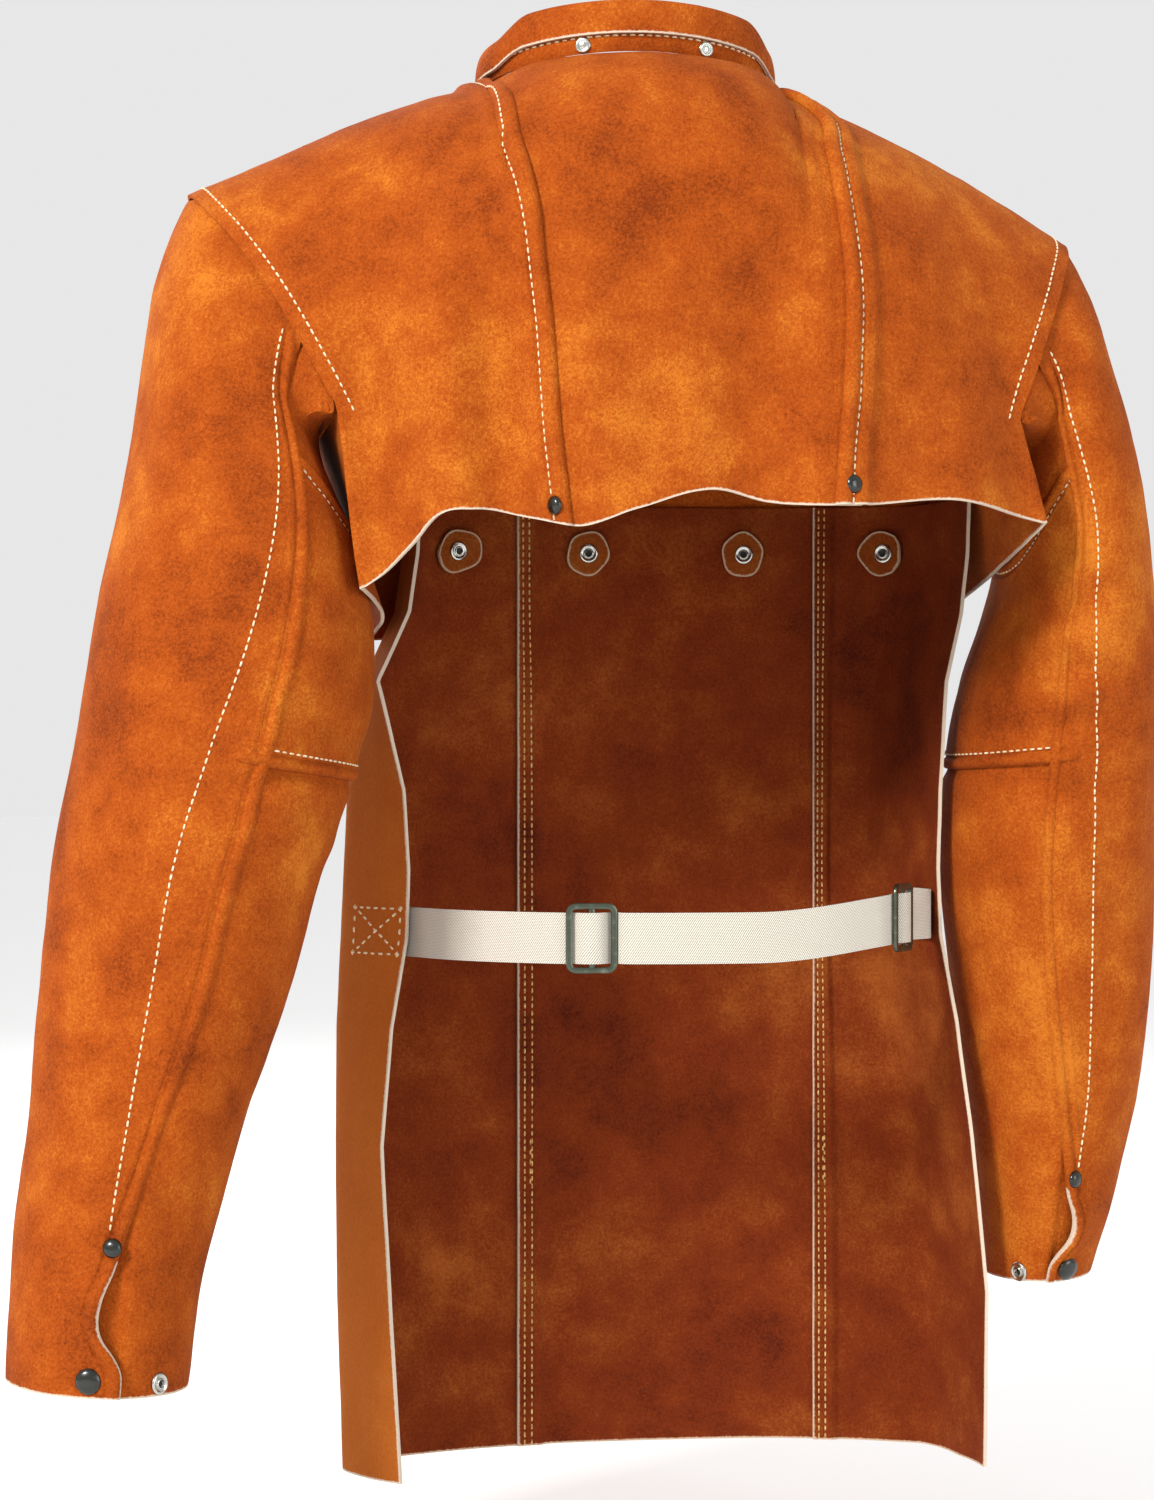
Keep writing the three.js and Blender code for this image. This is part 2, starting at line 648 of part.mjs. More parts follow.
// Each level is one spline from the right free edge, round the front, to the left flap
function bibControl(z) {
  const drop = (bibTop - z) / bibLength;
  const value = (key) => tableValue(bibSections, 'drop', key, drop);
  const edgeX = value('edgeX') * bibHalfWidth;
  const sideX = value('sideX') * bibHalfWidth;
  const bendX = value('bendX') * bibHalfWidth;
  const flapX = value('flapX') * bibHalfWidth;
  const onFront = (x) => [x, bibFrontY(x, z)];
  const right = bibSeamRight * bibHalfWidth;
  const left = bibSeamLeft * bibHalfWidth;
  const flapY = value('flapY') * bibWrap;
  return [
    [edgeX, value('edgeY') * bibWrap], [sideX, -0.72 * bibWrap], onFront(sideX + 0.1 * bibHalfWidth),
    onFront(right), onFront((right + left) / 2), onFront(left),
    onFront(bendX - 0.13 * bibHalfWidth), [bendX, -1.02 * bibWrap],
    [mix(bendX, flapX, 0.42), mix(-1.02 * bibWrap, flapY, 0.6)], [flapX, flapY],
  ];
}

const bibRightSeam = 3;
const bibLeftSeam = 5;
const bibLastControl = 9;
const bibFrontFrom = 2;
const bibFrontTo = 6;

function bibPoint(at, z) {
  const control = bibControl(z);
  const x = splineValue(control.map((c) => c[0]), at);
  const y = splineValue(control.map((c) => c[1]), at);
  const onFront = at >= bibFrontFrom && at <= bibFrontTo;
  return new THREE.Vector3(x, onFront ? bibFrontY(x, z) : y, z);
}

const bibRows = [0, 0.06, 0.12, 0.155, 0.19, 0.24, 0.3, 0.38, 0.45, 0.54, 0.66, 0.82, 1];
const frontShare = (distance) => (distance * 2) / ((bibSeamLeft - bibSeamRight) * bibHalfWidth);

function bibPanel(fromAt, toAt, overlapFrom, overlapTo, columns) {
  const grid = [];
  for (const drop of bibRows) {
    const z = bibTop - drop * bibLength;
    const line = [];
    const stops = [];
    if (overlapFrom) stops.push([fromAt - frontShare(bibSeamLap), 0]);
    for (let i = 0; i <= columns; i += 1) {
      stops.push([mix(fromAt, toAt, i / columns), 0]);
    }
    if (overlapTo) {
      stops.pop();
      stops.pop();
      stops.push([toAt - frontShare(bibSeamLap + lapRamp), 0]);
      stops.push([toAt - frontShare(bibSeamLap), -layer], [toAt, -layer]);
    }
    for (const [at, lift] of stops) line.push({ point: bibPoint(at, z), lift });
    grid.push(line);
  }
  return wallGeometry([grid], leather, false);
}

// Webbing along a route of plan points, standing on edge
function webbingStrip(points) {
  const grid = [[], []];
  for (const p of points) {
    grid[0].push({ point: new THREE.Vector3(p.x, p.y, p.z + webbingWidth / 2), lift: 0 });
    grid[1].push({ point: new THREE.Vector3(p.x, p.y, p.z - webbingWidth / 2), lift: 0 });
  }
  return wallGeometry([grid], webbingThick, false);
}

const strapHeight = (x) => strapLevel + strapRise * smooth((-x - 60) / 95);

function sliderGeometry() {
  const rounded = (half, tall, corner, path) => {
    const x = half - corner;
    const y = tall - corner;
    path.absarc(x, -y, corner, -Math.PI / 2, 0, false);
    path.absarc(x, y, corner, 0, Math.PI / 2, false);
    path.absarc(-x, y, corner, Math.PI / 2, Math.PI, false);
    path.absarc(-x, -y, corner, Math.PI, Math.PI * 1.5, false);
    return path;
  };
  const shape = rounded(sliderWidth / 2, sliderHeight / 2, 4, new THREE.Shape());
  const slot = (sliderWidth / 2 - sliderWire - sliderBar / 2) / 2;
  for (const sign of [-1, 1]) {
    const inner = (sign * sliderBar) / 2;
    const outer = inner + sign * 2 * slot;
    const tall = sliderHeight / 2 - sliderWire;
    const hole = new THREE.Path();
    hole.moveTo(inner, sliderBarRoot - tall);
    hole.lineTo(inner, tall - sliderBarRoot);
    hole.lineTo(outer, tall);
    hole.lineTo(outer, -tall);
    shape.holes.push(hole);
  }
  const geometry = new THREE.ExtrudeGeometry(shape, {
    depth: sliderThick, bevelEnabled: false, curveSegments: 4,
  });
  geometry.translate(0, 0, -sliderThick / 2);
  return geometry.rotateX(Math.PI / 2);
}

// Round hardware turned about the normal of the wall that it sits on
function turned(profile, sidesAround) {
  return new THREE.LatheGeometry(profile.map(([r, h]) => new THREE.Vector2(r, h)), sidesAround);
}

const domed = (radius, height) => turned([
  [0, 0], [radius, 0], [radius, height * 0.35], [radius * 0.7, height * 0.85], [0, height],
], 10);

const post = () => turned([
  [0, 0], [studRadius, 0], [studRadius, studHeight * 0.5], [studRadius * 0.75, studHeight],
  [studRadius * 0.45, studHeight], [studRadius * 0.4, studHeight * 0.5], [0, studHeight * 0.5],
], 12);

function seat(mesh, point, normal, lift) {
  mesh.position.copy(point).addScaledVector(normal, lift);
  mesh.quaternion.setFromUnitVectors(new THREE.Vector3(0, 1, 0), normal);
}

function normalOf(surface, u, v, du, dv, outward) {
  const point = surface(u, v);
  const alongU = surface(u + du, v).sub(surface(u - du, v));
  const alongV = surface(u, v + dv).sub(surface(u, v - dv));
  const normal = alongU.cross(alongV).normalize();
  if (normal.dot(outward) < 0) normal.negate();
  return { point, normal };
}

const towardBack = new THREE.Vector3(0, 1, 0);
const towardFront = new THREE.Vector3(0, -1, 0);

// Body and collar
addMesh('back_center_panel', backCenterPanel(), suede);
addMesh('left_side_panel', sidePanel('left'), suede);
addMesh('right_side_panel', sidePanel('right'), suede);
addMesh('collar_band', collarPiece(bandProfile), suede);
addMesh('collar_leaf', collarPiece(leafProfile), suede);
for (const [name, angle] of [['left', 24], ['right', -25]]) {
  const a = radians(angle);
  const normal = new THREE.Vector3(Math.sin(a), Math.cos(a), 0);
  const geometry = domed(collarStudRadius, collarStudHeight);
  const stud = addMesh(`${name}_collar_stud`, geometry, nickel);
  seat(stud, collarRing(angle, 0.3, bandBase(angle) + 0.35 * bandHeight), normal, layer);
}

// Sleeves with their rivets, cuff caps and studs
for (const side of ['left', 'right']) {
  const { sign } = sides[side];
  addMesh(`${side}_sleeve_outer`, sleevePiece(side, 'outer', 0, sleeveLastRow), suede);
  addMesh(`${side}_sleeve_gusset`, sleevePiece(side, 'under', 0, gussetRow), suede);
  addMesh(`${side}_sleeve_under_upper`, sleevePiece(side, 'under', gussetRow, elbowRow), suede);
  addMesh(`${side}_sleeve_under_lower`, sleevePiece(side, 'under', elbowRow, sleeveLastRow), suede);
  const surface = (row, angle) => sleevePoint(side, row, angle);
  const outward = (angle) => new THREE.Vector3(sign * Math.cos(radians(angle)), Math.sin(radians(angle)), 0);
  const place = (name, geometry, finish, row, angle) => {
    const spot = normalOf(surface, row, angle, 0.05, 1, outward(angle));
    seat(addMesh(`${side}_${name}`, geometry, finish), spot.point, spot.normal, layer + 0.25);
  };
  place('cuff_rivet', domed(rivetRadius, rivetHeight), blackEnamel, 8.95, seamAngle(8.95) - 7);
  place('cuff_cap', domed(capRadius, capHeight), blackEnamel, 9.82, seamAngle(9.82) - 14);
  place('cuff_stud', post(), nickel, 9.86, seamAngle(9.86) + 34);
}

// Back rivets on the seams at the hem
for (const side of ['left', 'right']) {
  const { sign } = sides[side];
  const z = side === 'left' ? -218 : -207;
  const x = seamX(side, z) + sign * 7;
  const spot = normalOf((u, v) => bodyPoint(u, v, 1), x, z, 1, 1, towardBack);
  const rivet = addMesh(`${side}_back_rivet`, domed(rivetRadius, rivetHeight), blackEnamel);
  seat(rivet, spot.point, spot.normal, layer + leather + gap + 0.2);
}

// Front closure caps on the left panel's lapped edge
closureCaps.forEach((share, i) => {
  const z = mix(-neckFrontDrop, hemHeight(-hemLean, -1), share) - closureCapSet;
  const x = leanAt(z) + sides.left.closureEdge + 10;
  const spot = normalOf((u, v) => bodyPoint(u, v, -1), x, z, 1, 1, towardFront);
  const cap = addMesh(`closure_cap_${i + 1}`, domed(capRadius, capHeight), blackEnamel);
  seat(cap, spot.point, spot.normal, layer + leather + gap + 0.3);
});

// Bib panels, the snaps that hang it, and their leather patches
addMesh('bib_right_panel', bibPanel(0, bibRightSeam, false, true, 6), flesh);
addMesh('bib_center_panel', bibPanel(bibRightSeam, bibLeftSeam, true, true, 6), flesh);
addMesh('bib_left_panel', bibPanel(bibLeftSeam, bibLastControl, true, false, 10), flesh);
const bibSnapZ = bibTop - bibSnapDrop * bibLength;

function bibAt(x, z) {
  let low = 1;
  let high = bibLastControl - 2;
  for (let i = 0; i < 40; i += 1) {
    const middle = (low + high) / 2;
    if (bibPoint(middle, z).x < x) low = middle;
    else high = middle;
  }
  return low;
}

function bibPatch(x, z, clear) {
  const around = 14;
  const grid = [0, 0.5, 1].map((share) => Array.from({ length: around + 1 }, (_, i) => {
    const a = (2 * Math.PI * (i % around)) / around;
    const level = z + share * patchRadius * Math.sin(a);
    const at = bibAt(x + share * patchRadius * Math.cos(a), level);
    return { point: bibPoint(at, level), lift: -patchThick - clear };
  }));
  return wallGeometry([grid], patchThick, false);
}

bibSnapAcross.forEach((across, i) => {
  const at = bibAt(across * bibHalfWidth, bibSnapZ);
  const spot = normalOf(bibPoint, at, bibSnapZ, 0.02, 1, towardBack);
  const clear = patchClear + patchBend * (across + hemLean / bibHalfWidth) ** 2;
  addMesh(`bib_patch_${i + 1}`, bibPatch(spot.point.x, bibSnapZ, clear), flesh);
  const ring = addMesh(`bib_post_${i + 1}`, post(), nickel);
  seat(ring, spot.point, spot.normal, clear + patchThick + gap);
  const front = normalOf((u, v) => bodyPoint(u, v, -1), spot.point.x, bibSnapZ, 1, 1, towardFront);
  const cap = addMesh(`bib_cap_${i + 1}`, domed(capRadius, capHeight), blackEnamel);
  seat(cap, front.point, front.normal, layer);
});

// Waist strap: over the slider's bar, then round the end slider's bar
const barClear = sliderThick / 2 + gap;
const underBar = -barClear - webbingThick - 0.3;
const slotOuter = sliderWidth / 2 - sliderWire - 0.6;
const slotInner = sliderBar / 2 + 1.6;
const weave = [
  [-sliderWidth / 2 - 1, underBar], [-slotOuter, underBar], [-slotInner, barClear],
  [slotInner, barClear], [slotOuter, underBar], [sliderWidth / 2 + 1, underBar],
];
const throughSlider = weave.map(([forward, out]) => ({
  x: sliderAt.x - forward, y: sliderAt.y + out,
}));
const turn = radians(endSliderAt.turn);
const along = new THREE.Vector2(-Math.cos(turn), -Math.sin(turn));
const across = new THREE.Vector2(-along.y, along.x);
const besideSlider = (forward, out) => ({
  x: endSliderAt.x + along.x * forward - across.x * out,
  y: endSliderAt.y + along.y * forward - across.y * out,
});
const strapLine = [
  ...strapRoute, ...throughSlider, ...strapBack,
  ...weave.slice(0, 4).map(([forward, out]) => besideSlider(forward, out)),
];
addMesh('waist_strap', webbingStrip(strapLine.map((p) => ({ ...p, z: strapHeight(p.x) }))), webbing);
const anchorLine = [besideSlider(slotOuter, underBar), besideSlider(sliderWidth / 2 + 1, underBar),
  ...anchorRoute].map((p) => ({ ...p, z: strapHeight(p.x) }));
addMesh('strap_anchor', webbingStrip(anchorLine), webbing);
const slider = addMesh('strap_slider', sliderGeometry(), gunmetal);
slider.position.set(sliderAt.x, sliderAt.y, strapHeight(sliderAt.x));
const endSlider = addMesh('end_slider', sliderGeometry(), gunmetal);
endSlider.position.set(endSliderAt.x, endSliderAt.y, strapHeight(endSliderAt.x));
endSlider.rotation.z = turn;

export default cape;
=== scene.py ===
import math
import random
from functools import partial
from itertools import product

import bpy
import numpy as np
from mathutils import Matrix, Vector
from mathutils.bvhtree import BVHTree
from mathutils.kdtree import KDTree


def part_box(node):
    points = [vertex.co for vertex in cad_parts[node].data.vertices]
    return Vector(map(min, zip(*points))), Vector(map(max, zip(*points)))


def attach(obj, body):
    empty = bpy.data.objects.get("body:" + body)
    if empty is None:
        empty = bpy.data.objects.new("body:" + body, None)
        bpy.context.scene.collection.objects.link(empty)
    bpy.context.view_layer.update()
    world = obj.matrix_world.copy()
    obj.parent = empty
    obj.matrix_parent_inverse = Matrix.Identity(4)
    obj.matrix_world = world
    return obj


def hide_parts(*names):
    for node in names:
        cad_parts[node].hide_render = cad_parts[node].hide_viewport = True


# Welding cape with bib. Shapes are worked out in millimetres and stored in metres.
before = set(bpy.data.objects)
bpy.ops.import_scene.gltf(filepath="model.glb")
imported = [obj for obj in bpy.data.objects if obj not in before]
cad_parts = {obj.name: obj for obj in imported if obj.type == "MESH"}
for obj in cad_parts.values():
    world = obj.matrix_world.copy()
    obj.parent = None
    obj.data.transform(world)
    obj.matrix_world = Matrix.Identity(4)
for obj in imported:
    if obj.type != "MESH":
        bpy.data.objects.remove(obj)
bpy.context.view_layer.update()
mm = 0.001
random.seed(7)
print("frame loaded")


# Small maths
def mix(a, b, t):
    return a + (b - a) * t


def clamp01(t):
    return np.clip(t, 0.0, 1.0)


def smooth(t):
    t = clamp01(t)
    return t * t * (3 - 2 * t)


def hump(x, centre, width):
    return np.exp(-(((x - centre) / width) ** 2))


def curveAt(keys, values, at):
    # smooth curve through a short table, keys rising
    keys = np.asarray(keys, float)
    values = np.asarray(values, float)
    spans = np.diff(keys)
    slopes = np.diff(values) / spans
    inner = (slopes[:-1] * spans[1:] + slopes[1:] * spans[:-1]) / (spans[:-1] + spans[1:])
    tangents = np.concatenate([slopes[:1], inner, slopes[-1:]])
    at = np.clip(at, keys[0], keys[-1])
    i = np.clip(np.searchsorted(keys, at, side="right") - 1, 0, len(keys) - 2)
    t = (at - keys[i]) / spans[i]
    rise = (3 - 2 * t) * t * t
    return (
        mix(values[i], values[i + 1], rise)
        + spans[i] * t * (1 - t) * ((1 - t) * tangents[i] - t * tangents[i + 1])
    )


def between(p0, p1, p2, p3, u):
    # smooth curve from p1 to p2 that heads from p0 and on to p3
    bend = (2 * p0 - 5 * p1 + 4 * p2 - p3) * u * u
    return 0.5 * (2 * p1 + (p2 - p0) * u + bend + (3 * p1 - p0 - 3 * p2 + p3) * u**3)


def splineAt(values, t):
    # one smooth curve through evenly numbered values
    values = np.asarray(values, float)
    t = np.asarray(t, float)
    last = len(values) - 1
    i = np.clip(np.floor(t).astype(int), 0, last - 1)
    u = (t - i).reshape(t.shape + (1,) * (values.ndim - 1))
    before = values[np.maximum(i - 1, 0)]
    after = values[np.minimum(i + 2, last)]
    return between(before, values[i], values[i + 1], after, u)


def noiseAt(points, size, seed):
    # seeded lattice noise from -1 to 1
    cells = np.asarray(points, float) / size
    base = np.floor(cells).astype(np.int64)
    part = cells - base
    ease = part * part * (3 - 2 * part)
    total = np.zeros(cells.shape[:-1])
    for corner in product((0, 1), repeat=3):
        at = base + np.array(corner)
        mixed = at[..., 0] * 374761 + at[..., 1] * 668265 + at[..., 2] * 914743 + seed * 39916801
        mixed = (mixed ^ (mixed >> 13)) * 1274126177
        mixed = mixed ^ (mixed >> 16)
        weight = np.ones(cells.shape[:-1])
        for axis in range(3):
            weight = weight * (ease[..., axis] if corner[axis] else 1 - ease[..., axis])
        total += weight * ((mixed & 65535) / 32767.5 - 1)
    return total


def unit(vectors):
    return vectors / np.maximum(np.linalg.norm(vectors, axis=-1, keepdims=True), 1e-9)


def lengthsAlong(points):
    return np.concatenate([[0], np.cumsum(np.linalg.norm(np.diff(points, axis=0), axis=1))])


def steps(*spans):
    # (start, end, count) spans joined into one rising list
    out = []
    for start, end, count in spans:
        part = np.linspace(start, end, count + 1)
        out.extend(part if not out else part[1:])
    return np.array(out)


# Leather
leather = {
    "thick": 1.8, "gap": 0.4, "seamClear": 0.5, "cover": 13.0, "ramp": 6.0, "frontCover": 24.0,
    "stitchIn": 7.5, "tuck": 8.0,
}
layer = leather["thick"] + leather["gap"]
lapLift = layer + leather["seamClear"]

neck = {
    "half": 71, "back": 62, "front": 64, "backRise": 7, "side": -2, "frontDrop": 26,
    "round": 74, "bandHeight": 10, "leafRise": 25, "leafFrontRise": 14, "leafFall": 17,
    "standOff": 3.2, "opening": 12,
}
torso = {
    "back": 118, "front": 116, "cornerLoss": 0.36, "cornerPower": 2.6, "cornerReach": 1.1,
    "half": 168, "round": 104, "slope": 1.3, "length": 222, "lean": 29, "underarm": -171, "dip": 4,
}
sides = {
    "left": {
        "sign": 1, "tip": 221, "tipDrop": 58, "underarm": 151, "hemBack": 139, "hemFront": 124,
        "sideBulge": 2, "hemBulge": -9, "frontHem": 276, "closureEdge": -10,
        "seamDrop": [0, 0.06, 0.18, 0.31, 0.47, 0.61, 0.76, 1],
        "seamX": [0.423, 0.395, 0.383, 0.352, 0.327, 0.305, 0.289, 0.25],
    },
    "right": {
        "sign": -1, "tip": 227, "tipDrop": 73, "underarm": 184, "hemBack": 197, "hemFront": 193,
        "sideBulge": 2, "hemBulge": 2, "frontHem": 256, "closureEdge": 10,
        "seamDrop": [0, 0.06, 0.18, 0.31, 0.47, 0.7, 0.82, 1],
        "seamX": [-0.423, -0.5, -0.502, -0.513, -0.527, -0.52, -0.507, -0.492],
    },
}
armhole = {"drop": [0, 0.12, 0.3, 0.55, 0.8, 1], "inset": [0, 0.1, 0.28, 0.54, 0.79, 1]}
backHem = {
    "across": [-1, -0.71, -0.36, -0.14, 0.02, 0.25, 0.42, 0.5, 0.7, 0.8, 0.86, 0.93, 1],
    "drop": [1, 0.96, 0.978, 0.971, 0.946, 0.99, 1.027, 1.014, 0.989, 1.005, 1.06, 1.117, 1.153],
}
backFolds = {
    "across": [0.95, 0.78, 0.6, 0.32, -0.1, -0.36, -0.75, -0.93],
    "width": [0.09, 0.1, 0.1, 0.12, 0.13, 0.1, 0.12, 0.08],
    "depth": [-0.06, 0.05, -0.065, 0.04, -0.055, 0.03, 0.035, -0.035],
}


def leanAt(z):
    return -torso["lean"] * clamp01(-z / torso["length"]) ** 0.8


def ridgeHeight(x):
    tip = np.where(x > 0, sides["left"]["tip"], sides["right"]["tip"])
    drop = np.where(x > 0, sides["left"]["tipDrop"], sides["right"]["tipDrop"])
    share = clamp01((np.abs(x) - neck["half"]) / (tip - neck["half"]))
    return neck["side"] - (drop + neck["side"]) * share ** torso["slope"]


def neckRing(x, face):
    arc = np.sqrt(np.maximum(0, 1 - (x / neck["half"]) ** 2))
    depth = neck["back"] if face > 0 else neck["front"]
    rise = (neck["backRise"] if face > 0 else -neck["frontDrop"]) - neck["side"]
    return depth * arc, neck["side"] + rise * arc**1.4


def startOf(x, face):
    inside = np.abs(x) < neck["half"]
    ringY, ringZ = neckRing(np.where(inside, x, neck["half"]), face)
    share = np.abs(x) / neck["half"]
    startRound = np.where(inside, mix(neck["round"], torso["round"], share**2), torso["round"])
    return np.where(inside, ringY, 0), np.where(inside, ringZ, ridgeHeight(x)), startRound


def bodyDepth(x, z, face):
    across = (x - leanAt(z)) / torso["half"]
    bounded = np.abs(across) / (1 + (across / torso["cornerReach"]) ** 8) ** (1 / 8)
    form = 1 - torso["cornerLoss"] * bounded ** torso["cornerPower"]
    if face > 0:
        fade = smooth((-z - 0.25 * torso["length"]) / (0.5 * torso["length"]))
        for at, width, depth in zip(backFolds["across"], backFolds["width"], backFolds["depth"]):
            form = form + fade * depth * hump(across, at, width)
    return (torso["back"] if face > 0 else torso["front"]) * form


def bodyPoint(x, z, face):
    x, z = np.broadcast_arrays(np.asarray(x, float), np.asarray(z, float))
    startY, startZ, startRound = startOf(x, face)
    share = clamp01((startZ - z) / startRound)
    swell = np.sqrt(1 - (1 - share) ** 2)
    y = face * mix(startY, bodyDepth(x, z, face), swell)
    return np.stack([x, y, z], axis=-1)


def seamX(side, z):
    data = sides[side]
    drop = (neck["side"] - z) / torso["length"]
    return torso["half"] * curveAt(data["seamDrop"], data["seamX"], drop)


def armholeX(side, drop):
    data = sides[side]
    inset = curveAt(armhole["drop"], armhole["inset"], drop)
    return data["sign"] * mix(data["tip"], data["underarm"], inset)


def hemHeight(x, face):
    if face < 0:
        left, right = sides["left"], sides["right"]
        share = clamp01((x + right["hemFront"]) / (left["hemFront"] + right["hemFront"]))
        return -mix(right["frontHem"], left["frontHem"], share)
    across = (x + torso["lean"]) / torso["half"]
    return -torso["length"] * curveAt(backHem["across"], backHem["drop"], across)


# rows of a body panel: down to the foot of the armhole, below it, and along the front of the neck
rowsAbove = 9
rowsBelow = 3
ringRows = 4
ringSpread = 0.82
sideColumns = 7
nearHem = rowsAbove + rowsBelow - 0.3
panelRows = steps((0, rowsAbove, 62), (rowsAbove, nearHem, 22), (nearHem, rowsAbove + rowsBelow, 6))


def dropShare(row):
    return (np.minimum(row, rowsAbove) / rowsAbove) ** 2


def belowShare(row):
    return np.maximum(0, row - rowsAbove) / rowsBelow


def seamLevel(row):
    level = mix(neck["side"], torso["underarm"], dropShare(row))
    return mix(level, -torso["length"], belowShare(row))


def backZ(x, row):
    below = belowShare(row)
    above = mix(startOf(x, 1)[1], torso["underarm"], dropShare(row))
    return np.where(below > 0, mix(torso["underarm"], hemHeight(x, 1), below), above)


# Turning grids of points into leather walls
farFromEdge = 99.0
creaseAngle = {"wall": math.radians(50), "metal": math.radians(40)}


def reliefOf(points, amount, stretch=(1, 1, 1)):
    # soft unevenness of the hide, from broad dents to small ones
    p = points * np.array(stretch)
    broad = 0.9 * noiseAt(p, 58, 1) + 0.5 * noiseAt(p, 24, 2)
    return amount * (broad + 0.17 * noiseAt(p, 9, 3) + 0.07 * noiseAt(p, 4, 4))


def foldsOf(points, folds):
    # soft folds on the back of the piece
    total = np.zeros(len(points))
    for x, z, turn, width, reach, rise in folds:
        c = math.cos(math.radians(turn))
        s = math.sin(math.radians(turn))
        along = (points[:, 0] - x) * c + (points[:, 2] - z) * s
        across = (points[:, 2] - z) * c - (points[:, 0] - x) * s
        total += rise * hump(across, 0, width) * hump(along, 0, reach)
    return total * smooth((points[:, 1] + 10) / 30)


def facingOf(points, quads):
    # at right angles to each face, its length twice the face's area
    return np.cross(points[quads[:, 2]] - points[quads[:, 0]], points[quads[:, 3]] - points[quads[:, 1]])


def normalsOf(points, quads):
    normals = np.zeros_like(points)
    for corner in range(4):
        np.add.at(normals, quads[:, corner], facingOf(points, quads))
    return unit(normals)


def rawFlags(shape, raw):
    if isinstance(raw, np.ndarray):
        return raw
    flags = np.zeros(shape, bool)
    flags[0, :] |= "t" in raw
    flags[-1, :] |= "b" in raw
    flags[:, 0] |= "l" in raw
    flags[:, -1] |= "r" in raw
    return flags


def weld(patches, flip):
    # the patches as one set of points and faces, joined where their points meet
    points = np.concatenate([p.reshape(-1, 3) for p, lift, raw in patches])
    lifts = np.concatenate([np.broadcast_to(lift, p.shape[:2]).ravel() for p, lift, raw in patches])
    flags = np.concatenate([rawFlags(p.shape[:2], raw).ravel() for p, lift, raw in patches])
    keys = np.round(points * 100).astype(np.int64)
    first, inverse = np.unique(keys, axis=0, return_index=True, return_inverse=True)[1:]
    inverse = inverse.reshape(-1)
    rawPoint = np.zeros(len(first), bool)
    np.logical_or.at(rawPoint, inverse, flags)
    quads = []
    start = 0
    for p, lift, raw in patches:
        rows, columns = p.shape[:2]
        grid = inverse[start:start + rows * columns].reshape(rows, columns)
        start += rows * columns
        corners = [grid[:-1, :-1], grid[1:, :-1], grid[1:, 1:], grid[:-1, 1:]]
        if flip:
            corners = corners[::-1]
        quads.append(np.stack([c.ravel() for c in corners], axis=1))
    quads = np.concatenate(quads)
    quads = quads[[len(set(q)) > 2 for q in quads.tolist()]]
    return points[first], lifts[first], rawPoint, quads


def rimOf(quads, count):
    # faces that join the outside to the inside along the free edges
    directed = np.concatenate([quads[:, [i, (i + 1) % 4]] for i in range(4)])
    directed = directed[directed[:, 0] != directed[:, 1]]
    codes = directed[:, 0] * count + directed[:, 1]
    turned = directed[:, 1] * count + directed[:, 0]
    rim = directed[~np.isin(codes, turned)]
    return np.stack([rim[:, 1], rim[:, 0], rim[:, 0] + count, rim[:, 1] + count], axis=1)


def makeWall(
    name, patches, looks, flip=False, thick=leather["thick"], relief=1.0, stretch=(1, 1, 1), folds=(),
):
    # patches are (points, lift, raw): rows go down, columns to the right as seen from outside
    base, lift, rawPoint, quads = weld(patches, flip)
    uneven = reliefOf(base, relief, stretch) + foldsOf(base, folds)
    base = base + normalsOf(base, quads) * uneven[:, None]
    normals = normalsOf(base, quads)
    inner = base + normals * lift[:, None]
    outer = inner + normals * thick
    rimFaces = rimOf(quads, len(base))
    faces = np.concatenate([quads, quads[:, ::-1] + len(base), rimFaces])
    faces = [list(dict.fromkeys(f)) for f in faces.tolist()]
    obj = addMesh(name, np.concatenate([outer, inner]), faces, looks)
    slots = np.concatenate([np.zeros(len(quads)), np.ones(len(quads)), np.zeros(len(rimFaces))])
    obj.data.polygons.foreach_set("material_index", np.minimum(slots, len(looks) - 1).astype(np.int32))
    reach = edgeReach(base, rawPoint)
    edge = obj.data.attributes.new("edge", "FLOAT", "POINT")
    edge.data.foreach_set("value", np.concatenate([reach, reach]).astype(np.float32))
    bpy.context.view_layer.objects.active = obj
    obj.select_set(True)
    bpy.ops.object.shade_smooth_by_angle(angle=creaseAngle["wall"])
    obj.select_set(False)
    obj["area"] = float(np.linalg.norm(facingOf(base, quads), axis=1).sum() / 2 * mm * mm)
    return obj


def pointTree(points):
    tree = KDTree(len(points))
    for i, p in enumerate(points.tolist()):
        tree.insert(p, i)
    tree.balance()
    return tree


def edgeReach(points, rawPoint):
    # distance to the nearest cut edge, in mm
    if not rawPoint.any():
        return np.full(len(points), farFromEdge)
    tree = pointTree(points[rawPoint])
    return np.array([tree.find(p)[2] for p in points.tolist()])


def addMesh(name, points, faces, looks):
    mesh = bpy.data.meshes.new(name)
    mesh.from_pydata((np.asarray(points) * mm).tolist(), [], faces)
    mesh.validate()
    for look in looks:
        mesh.materials.append(look)
    obj = bpy.data.objects.new(name, mesh)
    bpy.context.collection.objects.link(obj)
    return obj


def dress(obj, slot, *nodes):
    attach(obj, "root")
    if nodes:
        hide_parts(*nodes)
    return obj


def dressSheet(obj, slot, node):
    dress(obj, slot, node)
    return obj


# Materials
def linear(code, shade=1.0):
    channels = [int(code[i:i + 2], 16) / 255 for i in (1, 3, 5)]
    return [shade * (c / 12.92 if c < 0.04045 else ((c + 0.055) / 1.055) ** 2.4) for c in channels] + [1]


